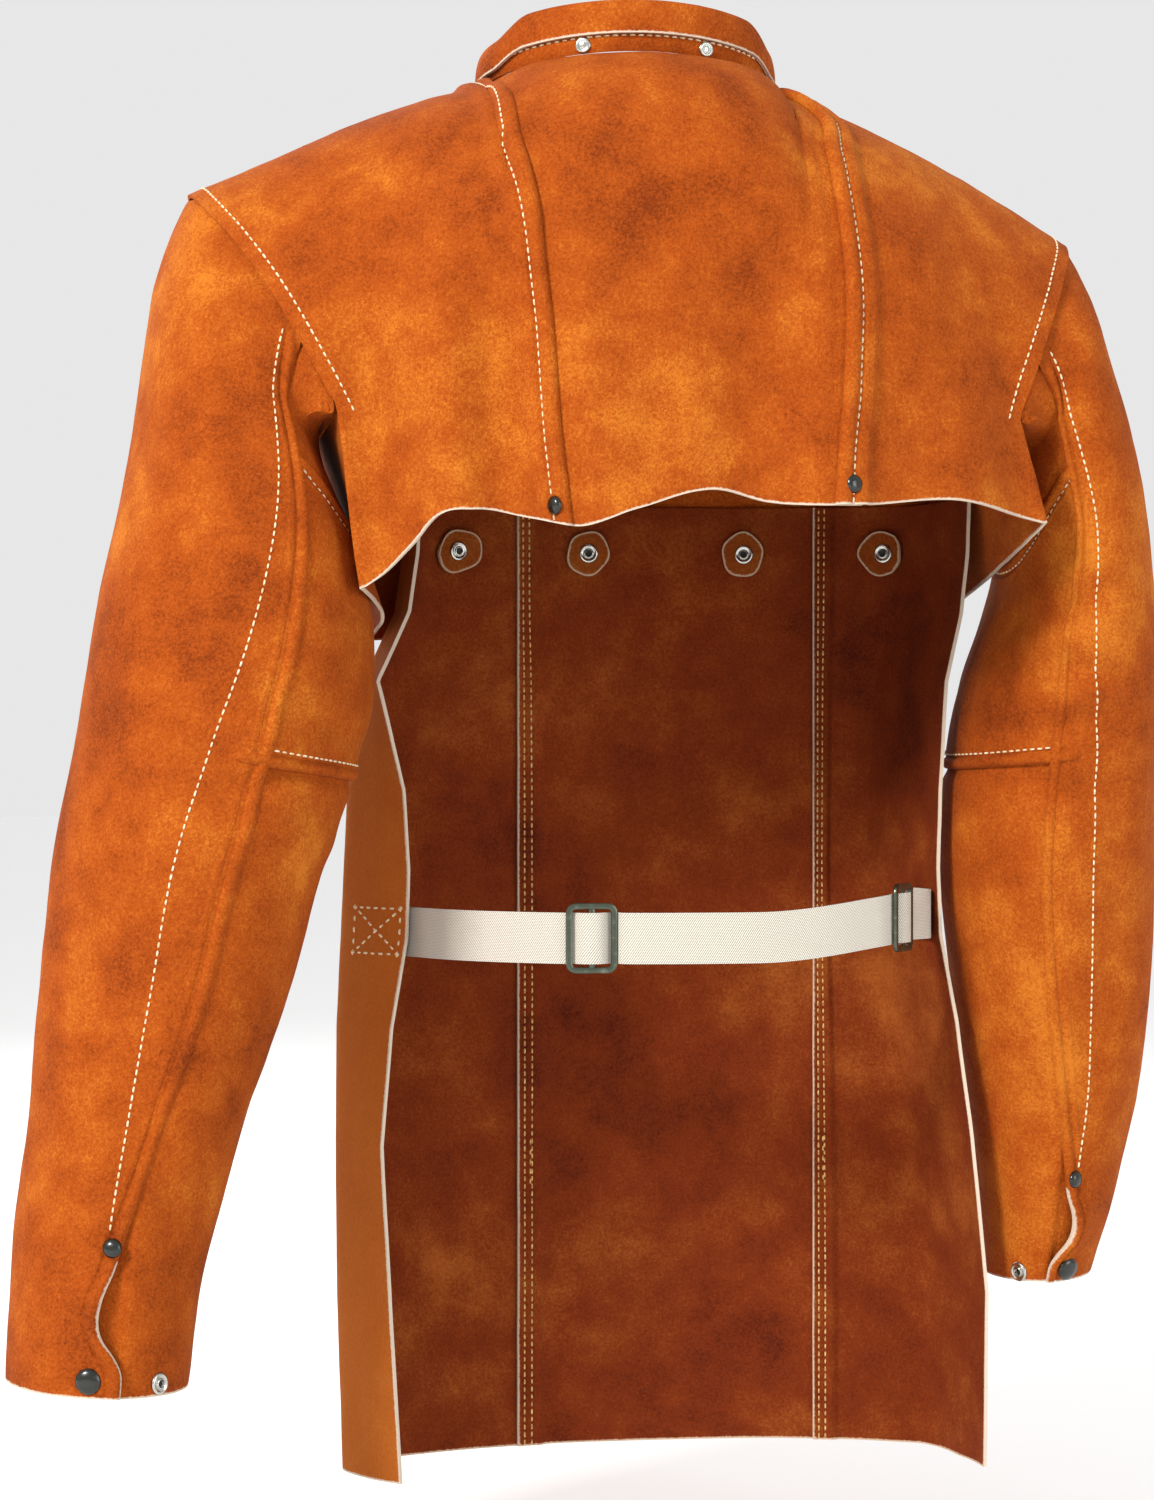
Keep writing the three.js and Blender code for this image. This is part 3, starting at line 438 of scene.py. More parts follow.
def feed(tree, inputs, values):
    # each value is a plain one or the socket of another node
    for label, value in values.items():
        if isinstance(value, bpy.types.NodeSocket):
            tree.links.new(value, inputs[label])
        else:
            inputs[label].default_value = value


def mathNode(tree, kind, a, b):
    node = tree.nodes.new("ShaderNodeMath")
    node.operation = kind
    feed(tree, node.inputs, {0: a, 1: b})
    return node.outputs[0]


def weighted(tree, a, b, share):
    # the first value has this share and the second the rest
    first = mathNode(tree, "MULTIPLY", a, share)
    return mathNode(tree, "ADD", first, mathNode(tree, "MULTIPLY", b, 1 - share))


def spread(tree, value, amount):
    return mathNode(tree, "MULTIPLY", mathNode(tree, "SUBTRACT", value, 0.5), amount)


def noiseNode(tree, vector, scale, detail, rough=0.55):
    node = tree.nodes.new("ShaderNodeTexNoise")
    feed(tree, node.inputs, {"Vector": vector, "Scale": scale, "Detail": detail, "Roughness": rough})
    return node.outputs["Fac"]


def rangeNode(tree, value, low, high, outLow=0.0, outHigh=1.0):
    node = tree.nodes.new("ShaderNodeMapRange")
    node.interpolation_type = "SMOOTHSTEP"
    ends = {"From Min": low, "From Max": high, "To Min": outLow, "To Max": outHigh}
    feed(tree, node.inputs, {"Value": value, **ends})
    return node.outputs["Result"]


def mixColour(tree, factor, a, b):
    node = tree.nodes.new("ShaderNodeMix")
    node.data_type = "RGBA"
    feed(tree, node.inputs, {"Factor": factor, "A": a, "B": b})
    return node.outputs["Result"]


def newGroup(name, colours, numbers):
    # every group puts out a colour, a roughness and a height
    group = bpy.data.node_groups.new(name, "ShaderNodeTree")
    sockets = [("INPUT", label, "Color") for label in colours]
    sockets += [("INPUT", label, "Float") for label in numbers]
    sockets += [("OUTPUT", "Color", "Color"), ("OUTPUT", "Roughness", "Float"), ("OUTPUT", "Height", "Float")]
    for way, label, kind in sockets:
        group.interface.new_socket(label, in_out=way, socket_type="NodeSocket" + kind)
    entry = group.nodes.new("NodeGroupInput")
    leave = group.nodes.new("NodeGroupOutput")
    return group, entry.outputs, leave.inputs


def splitHideGroup():
    # mottled dye, clumped nap and the pale fibres of a cut edge
    group, into, out = newGroup("splitHide", ("Light", "Mid", "Dark", "Cut"), ("Blotch", "Nap"))
    place = group.nodes.new("ShaderNodeTexCoord").outputs["Object"]
    cloud = noiseNode(group, place, 7.0, 3.0)
    blotch = noiseNode(group, place, 34.0, 4.0, 0.6)
    clump = noiseNode(group, place, 640.0, 3.0, 0.7)
    nap = noiseNode(group, place, 1300.0, 2.0, 0.6)
    broad = spread(group, weighted(group, cloud, blotch, 0.5), into["Blotch"])
    fine = spread(group, weighted(group, clump, nap, 0.62), into["Nap"])
    tone = mathNode(group, "ADD", mathNode(group, "ADD", broad, fine), 0.5)
    dark = mixColour(group, rangeNode(group, tone, -0.05, 0.55), into["Dark"], into["Mid"])
    dyed = mixColour(group, rangeNode(group, tone, 0.45, 1.0), dark, into["Light"])
    reach = group.nodes.new("ShaderNodeAttribute")
    reach.attribute_name = "edge"
    ragged = mathNode(group, "ADD", reach.outputs["Fac"], mathNode(group, "MULTIPLY", clump, -1.5))
    cut = rangeNode(group, ragged, -0.25, 0.55, 1.0, 0.0)
    feed(group, out, {
        "Color": mixColour(group, cut, dyed, into["Cut"]),
        "Roughness": rangeNode(group, fine, -0.2, 0.2, 0.98, 0.82),
        "Height": weighted(group, clump, nap, 0.7),
    })
    return group


def placeGroup(tree, shader, group, values, bump, distance):
    # the group's colour, roughness and height all go to the shader
    node = tree.nodes.new("ShaderNodeGroup")
    node.node_tree = group
    feed(tree, node.inputs, values)
    feed(tree, shader.inputs, {"Base Color": node.outputs["Color"], "Roughness": node.outputs["Roughness"]})
    addBump(tree, shader, node.outputs["Height"], bump, distance)


def newMaterial(name):
    material = bpy.data.materials.new(name)
    material.use_nodes = True
    tree = material.node_tree
    return material, tree, tree.nodes["Principled BSDF"]


def addBump(tree, shader, height, strength, distance):
    bump = tree.nodes.new("ShaderNodeBump")
    feed(tree, bump.inputs, {"Strength": strength, "Distance": distance, "Height": height})
    feed(tree, shader.inputs, {"Normal": bump.outputs["Normal"]})


splitHide = splitHideGroup()
hideShade = {"Light": 0.56, "Mid": 0.52, "Dark": 0.5, "Cut": 0.66}  # how deep each dye colour is laid on
leatherLooks = {
    "suede": {
        "light": "#F08A28", "mid": "#CC5C12", "dark": "#8E3606", "cut": "#EBD6BE", "blotch": 2.3, "nap": 1.5,
        "sheen": 0.05, "sheenTint": "#FFB060", "bump": 0.7,
    },
    # the bib's inner face: the flesh side's own redder colour, laid darker still as painted shade inside the
    # bib's hollow
    "fleshSideAndShade": {
        "light": "#BC6424", "mid": "#93390F", "dark": "#5C1A08", "cut": "#E0BFA0", "blotch": 1.9, "nap": 1.1,
        "sheen": 0.05, "sheenTint": "#E08040", "bump": 0.6,
    },
    "bibOutside": {
        "light": "#EE9440", "mid": "#DA7426", "dark": "#A84C12", "cut": "#F1DFC8", "blotch": 0.7, "nap": 0.8,
        "sheen": 0.1, "sheenTint": "#FFB060", "bump": 0.3,
    },
    "patchHide": {
        "light": "#C8782E", "mid": "#A85018", "dark": "#742A0A", "cut": "#D8B896", "blotch": 1.5, "nap": 1.2,
        "sheen": 0.05, "sheenTint": "#E08040", "bump": 0.6,
    },
}


def leatherMaterial(name):
    look = leatherLooks[name]
    material, tree, shader = newMaterial(name)
    values = {label: linear(look[label.lower()], shade) for label, shade in hideShade.items()}
    values.update({"Blotch": look["blotch"], "Nap": look["nap"]})
    placeGroup(tree, shader, splitHide, values, look["bump"], 0.0012)
    feed(tree, shader.inputs, {
        "Specular IOR Level": 0.12, "Sheen Weight": look["sheen"], "Sheen Roughness": 0.45,
        "Sheen Tint": linear(look["sheenTint"]),
    })
    return material


suede, fleshAndShade, bibOutside, patchHide = (leatherMaterial(name) for name in leatherLooks)


def threadMaterial(name, light, dark):
    material, tree, shader = newMaterial(name)
    place = tree.nodes.new("ShaderNodeTexCoord").outputs["Object"]
    tone = noiseNode(tree, place, 700.0, 2.0)
    colour = mixColour(tree, rangeNode(tree, tone, 0.3, 0.7), linear(dark, 0.75), linear(light, 0.75))
    feed(tree, shader.inputs, {"Base Color": colour, "Roughness": 0.6, "Sheen Weight": 0.2})
    addBump(tree, shader, tone, 0.4, 0.0004)
    return material


creamThread = threadMaterial("creamThread", "#FFF0CC", "#E2BE86")
goldThread = threadMaterial("goldThread", "#F2CC7A", "#B07A34")


def webbingMaterial():
    # twill: fine ribs across and a slanting rib over them, from the strap's own lengths
    material, tree, shader = newMaterial("webbing")
    place = tree.nodes.new("ShaderNodeUVMap")
    place.uv_map = "lengths"
    waves = []
    for turn, scale in ((math.radians(32), 330.0), (math.radians(90), 420.0)):
        mapping = tree.nodes.new("ShaderNodeMapping")
        feed(tree, mapping.inputs, {"Rotation": (0, 0, turn), "Vector": place.outputs["UV"]})
        wave = tree.nodes.new("ShaderNodeTexWave")
        ribs = {"Scale": scale, "Distortion": 0.6, "Detail": 1.0, "Vector": mapping.outputs["Vector"]}
        feed(tree, wave.inputs, ribs)
        waves.append(wave.outputs["Fac"])
    weave = weighted(tree, waves[0], waves[1], 0.65)
    # the weave's hollows are painted darker than its ribs: painted shade between the ribs
    hollowShade = linear("#A89C86", 0.62)
    raised = linear("#FBF6EA", 0.7)
    colour = mixColour(tree, rangeNode(tree, weave, 0.15, 0.75), hollowShade, raised)
    feed(tree, shader.inputs, {"Base Color": colour, "Roughness": 0.85, "Sheen Weight": 0.15})
    addBump(tree, shader, weave, 0.5, 0.0005)
    return material


webbing = webbingMaterial()


def metalGroup():
    # faint handling marks that change tone and gloss
    group, into, out = newGroup("handledMetal", ("Tone", "Worn"), ("Gloss",))
    place = group.nodes.new("ShaderNodeTexCoord").outputs["Object"]
    smear = noiseNode(group, place, 260.0, 4.0, 0.65)
    speck = noiseNode(group, place, 1300.0, 2.0)
    worn = rangeNode(group, smear, 0.52, 0.8)
    feed(group, out, {
        "Color": mixColour(group, worn, into["Tone"], into["Worn"]),
        "Roughness": mathNode(group, "ADD", into["Gloss"], mathNode(group, "MULTIPLY", worn, 0.18)),
        "Height": speck,
    })
    return group


handled = metalGroup()


metalLooks = {
    "blackEnamel": {"tone": "#10130D", "worn": "#23281C", "gloss": 0.22, "metal": 0.0, "coat": 0.15},
    "nickel": {"tone": "#B9B9B2", "worn": "#8C8C84", "gloss": 0.24, "metal": 1.0, "coat": 0.0},
    "gunmetal": {"tone": "#50564A", "worn": "#777C6E", "gloss": 0.3, "metal": 0.9, "coat": 0.1},
    # the stud hole's floor, painted near-black as painted shade
    "darkHole": {"tone": "#0A0A08", "worn": "#1A1A16", "gloss": 0.5, "metal": 0.3, "coat": 0.0},
}


def metalMaterial(name):
    look = metalLooks[name]
    material, tree, shader = newMaterial(name)
    values = {"Tone": linear(look["tone"]), "Worn": linear(look["worn"]), "Gloss": look["gloss"]}
    placeGroup(tree, shader, handled, values, 0.12, 0.0002)
    feed(tree, shader.inputs, {"Metallic": look["metal"], "Coat Weight": look["coat"]})
    return material


blackEnamel, nickel, gunmetal, darkHole = (metalMaterial(name) for name in metalLooks)
print("materials made")


# Body of the cape
turnedEdge = {"roll": 1.3, "stand": 0.4, "sink": 1.1, "sinkWidth": 1.3, "tip": 2.2}


def lapShape(distance):
    # a turned edge: rolled over at its end, sunk along the stitches
    middle = leather["stitchIn"]
    roll = turnedEdge["roll"] * np.sin(np.pi * clamp01(distance / middle)) + turnedEdge["stand"]
    sink = turnedEdge["sink"] * hump(distance, middle, turnedEdge["sinkWidth"])
    tip = turnedEdge["roll"] * (1 - clamp01(distance / turnedEdge["tip"])) ** 2
    return roll - sink - tip


# each fold: its place across and up, turn in degrees, width, half length and rise
bodyFolds = [
    (125, -105, 86, 17, 45, -3.6), (63, -150, 88, 14, 60, -3.0), (95, -135, 88, 16, 70, 2.6),
    (-64, -150, 90, 17, 65, -3.0), (-25, -120, 80, 18, 60, 2.0), (-150, -120, 96, 16, 55, -2.6),
]


def backCenterPanel():
    rows = panelRows[:, None]
    share = steps((0, 1, 64))[None, :]
    level = seamLevel(rows)
    left = np.where(rows == 0, neck["half"], seamX("left", level))
    right = np.where(rows == 0, -neck["half"], seamX("right", level))
    bunched = (1 - np.cos(np.pi * share)) / 2
    x = mix(left, right, mix(bunched, share, smooth(rows / 6)))
    under = leather["cover"] * np.linspace(1, 0.2, 5)[None, :]
    x = np.concatenate([left + under, x, right - under[:, ::-1]], axis=1)
    points = bodyPoint(x, backZ(x, rows), 1)
    beside = np.minimum(np.abs(x - left), np.abs(x - right)) * (x < left) * (x > right)
    crease = -0.9 * hump(beside, 3.5, 3.0) * smooth(rows / 3)
    obj = makeWall("backCenterPanel", [(points, crease, "b")], [suede], relief=1.3, folds=bodyFolds)
    return dressSheet(obj, "suede", "back_center_panel")


def sidePanelPoint(side, face, row, column):
    data = sides[side]
    sign = data["sign"]
    front = face < 0
    drop = dropShare(row)
    below = belowShare(row)
    ring = clamp01((row - ringRows) / (rowsAbove - ringRows)) ** 1.2
    innerDrop = ring if front else drop
    closureHem = hemHeight(-torso["lean"], -1)
    closureZ = mix(mix(-neck["frontDrop"], torso["underarm"], innerDrop), closureHem, below)
    inner = leanAt(closureZ) + data["closureEdge"] if front else seamX(side, seamLevel(row))
    if front:
        ringEnd = math.acos(abs(data["closureEdge"]) / neck["half"])
        ringX = sign * neck["half"] * np.cos(ringEnd * clamp01(row / (ringRows - 1)) ** ringSpread)
        inner = np.where(row <= ringRows - 1, ringX, inner)
        step = clamp01(row - (ringRows - 1))
        fromRing = sign * neck["half"] * math.cos(ringEnd)
        inner = np.where((row > ringRows - 1) & (row < ringRows), mix(fromRing, inner, step), inner)
    inner = np.where(row == 0, sign * neck["half"], inner)
    hemX = data["hemFront" if front else "hemBack"]
    outer = np.where(below > 0, sign * mix(data["underarm"], hemX, below), armholeX(side, drop))
    frontCover = leather["frontCover"] if front else leather["cover"]
    cover = mix(leather["cover"], frontCover, smooth(row / ringRows))
    lapped = inner + sign * (cover * clamp01(column) + leather["ramp"] * clamp01(column - 1))
    rest = clamp01((column - 2) / (sideColumns - 2))
    x = mix(lapped, outer, rest)
    if not front:
        return bodyPoint(x, backZ(x, row), face)
    share = mix(innerDrop, drop, clamp01((column - 1) / (sideColumns - 2)) ** 0.8)
    z = mix(startOf(x, face)[1], torso["underarm"], share)
    return bodyPoint(x, mix(z, hemHeight(x, face), below), face)


def sideWall(side, k, below):
    data = sides[side]
    arch = 4 * k * (1 - k)
    row = rowsAbove + below * rowsBelow
    back = sidePanelPoint(side, 1, row, sideColumns)
    front = sidePanelPoint(side, -1, row, sideColumns)
    point = back + (front - back) * k[..., None]
    point[..., 0] += data["sign"] * mix(data["sideBulge"], data["hemBulge"], below) * arch
    point[..., 2] -= torso["dip"] * (1 - below) * arch
    return point


def sidePanel(side):
    # a back patch, a front patch and the wall under the arm; the left front lies over the right one
    over = side == "left"
    nearSide = sideColumns - 0.3
    columns = steps((0, 1, 20), (1, 2, 6), (2, nearSide, 50), (nearSide, sideColumns, 6))
    row, column = np.meshgrid(panelRows, columns, indexing="ij")
    back = sidePanelPoint(side, 1, row, column)
    front = sidePanelPoint(side, -1, row, column)
    lift = (lapLift + lapShape(column * leather["cover"]) * (column < 1.4)) * (1 - smooth(column - 1))
    frontLift = lift if over else lift * clamp01(1 - row)
    patches = [(back, lift, "b"), (front[:, ::-1], frontLift[:, ::-1], "b")]
    below = belowShare(panelRows[panelRows >= rowsAbove])
    share, k = np.meshgrid(below, np.linspace(0, 1, 48), indexing="ij")
    patches.append((sideWall(side, k, share), 0.0, "b"))
    obj = makeWall(side + "SidePanel", patches, [suede], flip=over, relief=1.3, folds=bodyFolds)
    return dressSheet(obj, "suede", side + "_side_panel")


backCenterPanel()
sidePanels = {side: sidePanel(side) for side in sides}
print("body panels made")


# Sleeves
sleeveForm = {
    "length": 580, "reach": 300, "depth": 75, "clear": 0.8, "loopCorner": 125, "lastRow": 10,
    "besidePower": 0.78, "besideRows": 2.4,
}
sleeveSections = {
    "left": {
        "drop": [0.162, 0.272, 0.39, 0.475, 0.575, 0.675, 0.778, 0.883, 0.998],
        "tilt": [0.078, 0.052, 0.03, 0.019, 0.008, 0.003, 0, 0, 0.004],
        "outer": [0.798, 0.835, 0.886, 0.92, 0.963, 0.98, 0.995, 1.02, 1.03],
        "inner": [0.51, 0.443, 0.43, 0.462, 0.523, 0.577, 0.647, 0.7, 0.74],
        "set": [0.03, 0.16, 0.29, 0.4, 0.47, 0.55, 0.64, 0.72, 0.83],
        "depth": [0.97, 1, 0.99, 0.93, 0.88, 0.8, 0.72, 0.67, 0.63],
    },
    "right": {
        "drop": [0.162, 0.272, 0.39, 0.475, 0.575, 0.675, 0.778, 0.865, 0.955],
        "tilt": [0.068, 0.048, 0.026, 0.01, 0, 0, 0, 0, 0.003],
        "outer": [0.808, 0.893, 0.938, 0.956, 0.959, 0.96, 0.945, 0.91, 0.865],
        "inner": [0.66, 0.676, 0.615, 0.592, 0.582, 0.603, 0.637, 0.662, 0.682],
        "set": [-0.05, -0.19, -0.3, -0.4, -0.47, -0.56, -0.65, -0.72, -0.79],
        "depth": [0.95, 1, 0.98, 0.9, 0.84, 0.76, 0.68, 0.62, 0.58],
    },
}
backSeam = {"row": [0, 1, 2, 3, 5, 7, 10], "angle": [106, 107, 109, 104, 92, 90, 97]}
frontSeam = 258
seams = {"gusset": 2.75, "elbow": 5.1, "lap": 0.28, "ramp": 0.14, "turned": 0.2, "rowHeight": 60}
cuffSlit = {
    "row": [0, 8.95, 9.1, 9.33, 9.43, 9.53, 9.64, 9.75, 9.87, 10.1],
    "shift": [0, 0, -2.5, -8, -8.5, -6, 0, 4, 5, 5],
    "rawRow": 9.05, "gape": 4.5, "gapeWidth": 16,
}


def armholeLoop(side, angle):
    sign = sides[side]["sign"]
    turn = np.mod(angle, 360)
    corner = sleeveForm["loopCorner"]
    fromTop = np.where(turn <= 180, turn, 360 - turn)
    row = clamp01(fromTop / corner) * rowsAbove
    low = clamp01(row - 8)
    drop = dropShare(row)
    tuck = np.zeros(angle.shape + (3,))
    edge = np.zeros(angle.shape + (3,))
    for face in (1, -1):
        here = (turn <= 180) if face > 0 else (turn > 180)
        at = sidePanelPoint(side, face, row, np.full(row.shape, float(sideColumns)))
        inside = bodyPoint(at[..., 0] - sign * mix(leather["tuck"], -2.5, low), at[..., 2], face)
        at[..., 0] += sign * mix(1, 4, low)
        fall = np.sqrt(drop)
        sink = unit(np.stack([np.full(row.shape, sign * 0.35), face * fall, 1 - fall * 0.8], axis=-1))
        sink = sink * (-layer - sleeveForm["clear"])
        tuck = np.where(here[..., None], inside + sink, tuck)
        edge = np.where(here[..., None], at + sink, edge)
    k = clamp01((turn - corner) / (360 - 2 * corner))
    wall = sideWall(side, k, np.zeros(k.shape))
    under = (fromTop > corner)[..., None]
    tuck = np.where(under, wall + np.array([sign * 2.5, 0, 1.2]), tuck)
    edge = np.where(under, wall + np.array([sign * 6, 0, 0.6]), edge)
    return tuck, edge


def sleeveRing(side, row, angle):
    table = sleeveSections[side]
    a = np.radians(angle)
    part = {key: splineAt(values, row - 2) for key, values in table.items()}
    outer = part["outer"] * sleeveForm["reach"] - leather["thick"]
    inner = part["inner"] * sleeveForm["reach"] + leather["thick"]
    inward = np.maximum(0, -np.cos(a))
    power = mix(sleeveForm["besidePower"], 1, clamp01((row - 2) / sleeveForm["besideRows"]))
    beside = inward**power - inward
    x = (outer + inner) / 2 + ((outer - inner) / 2) * (np.cos(a) - beside)
    y = sleeveForm["depth"] * (part["set"] + part["depth"] * np.sin(a))
    drop = part["drop"] - part["tilt"] * np.cos(a)
    z = -sides["left"]["tipDrop"] - sleeveForm["length"] * drop
    return np.stack([sides[side]["sign"] * x, y, z], axis=-1)


def sleevePoint(side, row, angle):
    row, angle = np.broadcast_arrays(np.asarray(row, float), np.asarray(angle, float))
    tuck, edge = armholeLoop(side, angle)
    two = sleeveRing(side, np.full(row.shape, 2.0), angle)
    three = sleeveRing(side, np.full(row.shape, 3.0), angle)
    t = clamp01(row - 1)[..., None]
    joined = between(tuck, edge, two, three, t)
    top = tuck + (edge - tuck) * clamp01(row)[..., None]
    ring = sleeveRing(side, np.maximum(row, 2), angle)
    return np.where((row <= 1)[..., None], top, np.where((row < 2)[..., None], joined, ring))


def girthAngle(row, distance):
    girth = sleeveForm["depth"] * mix(0.97, 0.62, clamp01((row - 2) / 8))
    return np.degrees(distance / girth)


def seamAngle(row):
    return curveAt(backSeam["row"], backSeam["angle"], row)


sleeveFolds = {
    "left": [
        (200, -168, 80, 12, 45, -4.2), (168, -318, 20, 8, 30, -3.2), (176, -345, -15, 8, 34, -3.2),
        (185, -374, 12, 9, 34, 2.4), (236, -330, 72, 16, 70, 2.8), (258, -480, 76, 17, 80, -3.2),
        (228, -560, 80, 15, 75, -3.0),
    ],
    "right": [
        (-221, -262, -25, 8, 32, -3.6), (-219, -292, 10, 8, 36, -3.8), (-216, -322, -12, 8, 34, -3.2),
        (-222, -352, 8, 9, 36, -2.6), (-262, -300, 86, 15, 75, 3.0), (-250, -450, 88, 16, 80, -3.2),
        (-226, -520, 82, 14, 60, 2.6),
    ],
}


def sleevePiece(side, label, node, patch):
    obj = makeWall(
        side + label, [patch], [suede], flip=side == "right", relief=1.5, stretch=(1, 1, 0.5),
        folds=sleeveFolds[side],
    )
    return dressSheet(obj, "suede", side + node)


def sleeveOuter(side):
    rows = steps((0, 1, 5), (1, 8.9, 150), (8.9, 10, 40))[:, None]
    back = seamAngle(rows) + girthAngle(rows, curveAt(cuffSlit["row"], cuffSlit["shift"], rows))
    start = frontSeam - 360.0
    lap = girthAngle(rows, leather["cover"])
    fine = steps((0, 1, 18))[None, :]
    main = mix(start + lap, back - lap, steps((0, 1, 70))[None, 1:-1])
    angle = np.concatenate([start + lap * fine, main, back - lap + lap * fine], axis=1)
    toFront = (angle - start) * leather["cover"] / lap
    toBack = (back - angle) * leather["cover"] / lap
    lift = sum(lapShape(inward) * (inward < leather["cover"] - 1) for inward in (toFront, toBack))
    lift = lift * smooth((rows - 1) / 0.4)
    gape = smooth((rows - 9.0) / 0.35) * smooth((10.2 - rows) / 0.6)
    lift = lift + cuffSlit["gape"] * gape * hump(toBack, 0, cuffSlit["gapeWidth"])
    raw = np.zeros(lift.shape, bool)
    raw[-1, :] = True
    raw[rows[:, 0] > cuffSlit["rawRow"], -1] = True
    patch = (sleevePoint(side, rows, angle), lift, raw)
    return sleevePiece(side, "SleeveOuter", "_sleeve_outer", patch)


def gussetEdge(angle):
    middle = (seamAngle(seams["gusset"]) + frontSeam) / 2
    away = np.abs(angle - middle) / (frontSeam - middle)
    return mix(seams["gusset"] + 0.12, seams["gusset"] - 0.28, smooth(away))


# the three pieces under the arm
underParts = {
    "gusset": {
        "label": "Gusset", "node": "_sleeve_gusset", "flat": (0.22, 0.2), "raw": "",
        "seamRow": 1.5, "share": steps((0, 0.35, 8), (0.35, 1, 40)),
    },
    "upper": {
        "label": "UnderUpper", "node": "_sleeve_under_upper", "flat": (0.26, 0.2), "raw": "",
        "seamRow": 4.0, "share": steps((0, 0.1, 14), (0.1, 0.9, 44), (0.9, 1, 12)),
    },
    "lower": {
        "label": "UnderLower", "node": "_sleeve_under_lower", "flat": (0.26, 0.36), "raw": "b",
        "seamRow": 7.5, "share": steps((0, 0.06, 10), (0.06, 1, 110)),
    },
}


def sleeveUnder(side, part):
    plan = underParts[part]
    across = steps((-1, 0, 8), (0, 1, 60), (1, 2, 8))[None, :]
    border = gussetEdge(mix(seamAngle(plan["seamRow"]), frontSeam, clamp01(across)))
    start, end = {
        "gusset": (0, border + seams["lap"]),
        "upper": (border, seams["elbow"]),
        "lower": (seams["elbow"] - seams["lap"], sleeveForm["lastRow"]),
    }[part]
    rows = mix(start, end, plan["share"][:, None]) + 0 * border
    back = seamAngle(rows)
    lap = girthAngle(rows, leather["cover"]) - 0.3
    past = np.minimum(across, 0) + np.maximum(across - 1, 0)
    angle = mix(back, frontSeam, clamp01(across)) + lap * past
    inFromSeam = np.minimum(angle - back, frontSeam - angle) / girthAngle(rows, leather["ramp"])
    lift = -lapLift * (1 - smooth(inFromSeam))
    if part == "gusset":
        lift = lift - layer * smooth((rows - border + seams["ramp"]) / seams["ramp"])
    if part == "upper":
        for inward in (rows - border, seams["elbow"] - rows):
            lift = lift + lapShape(inward * seams["rowHeight"]) * (inward < seams["turned"])
    if part == "lower":
        lift = lift - layer * (1 - smooth((rows - seams["elbow"]) / seams["ramp"]))
    patch = (sleevePoint(side, rows, angle), lift, plan["raw"])
    return sleevePiece(side, plan["label"], plan["node"], patch)


sleeves = {}
for side in sides:
    sleeves[side] = {"outer": sleeveOuter(side)}
    for part in underParts:
        sleeves[side][part] = sleeveUnder(side, part)
print("sleeves made")


# Collar
def collarRing(angle, out, up):
    a = np.radians(angle)
    x = neck["half"] * np.sin(a)
    back = np.cos(a) >= 0
    ringY, ringZ = neckRing(x, 1)
    frontY, frontZ = neckRing(x, -1)
    y = np.where(back, ringY, -frontY)
    z = np.where(back, ringZ, frontZ)
    return np.stack([x + out * np.sin(a), y + out * np.cos(a), z + up], axis=-1)


def frontness(angle):
    return smooth((np.abs(angle) - 55) / 25)


def bandBase(angle):
    return layer * (1 + 1.5 * frontness(angle)) + leather["gap"]


def profileGrid(profile, rows, angle):
    out, up = profile(angle)
    outs = splineAt(np.stack(out), rows)
    ups = splineAt(np.stack(up), rows)
    return collarRing(angle[None, :], outs, ups)


def bandProfile(angle):
    base = bandBase(angle)
    height = neck["bandHeight"]
    bulge = 1.3 + 0 * angle
    foot = layer * (1 + 1.5 * smooth((np.abs(angle) - 79) / 8)) + 0.2
    ups = [base + height, base + 0.7 * height, base + 0.3 * height, foot]
    return [0.2 + 0 * angle, bulge, bulge, 0.6 + 0 * angle], ups


def leafProfile(angle):
    share = frontness(angle * 1.15)
    top = mix(neck["leafRise"], neck["leafFrontRise"] + 4, share) + 2.5
    fall = mix(neck["leafFall"], neck["leafFrontRise"] + 1.5, share)
    inside = -layer + 0 * angle
    outside = neck["standOff"] + 1.2 + 0 * angle
    base = bandBase(angle)
    outs = [outside + 1.4, outside + 0.9, outside - 0.8, (inside + outside) / 2, inside, inside, inside]
    ups = [top - fall, top - fall * 0.5, top - 1.6, top, top - 2.6, (top + base) / 2, base + 2]
    return outs, ups


def collarPiece(name, node, profile, count, raw):
    end = 180 - math.degrees(neck["opening"] / neck["front"])
    angle = np.linspace(end, -end, 220)
    rows = np.linspace(0, count, 10 * count + 1)
    points = profileGrid(profile, rows, angle)
    obj = makeWall(name, [(points, 0.0, raw)], [suede], relief=0.45)
    return dressSheet(obj, "suede", node)


collarBand = collarPiece("collarBand", "collar_band", bandProfile, 3, "")
collarPiece("collarLeaf", "collar_leaf", leafProfile, 6, "t")
print("collar made")


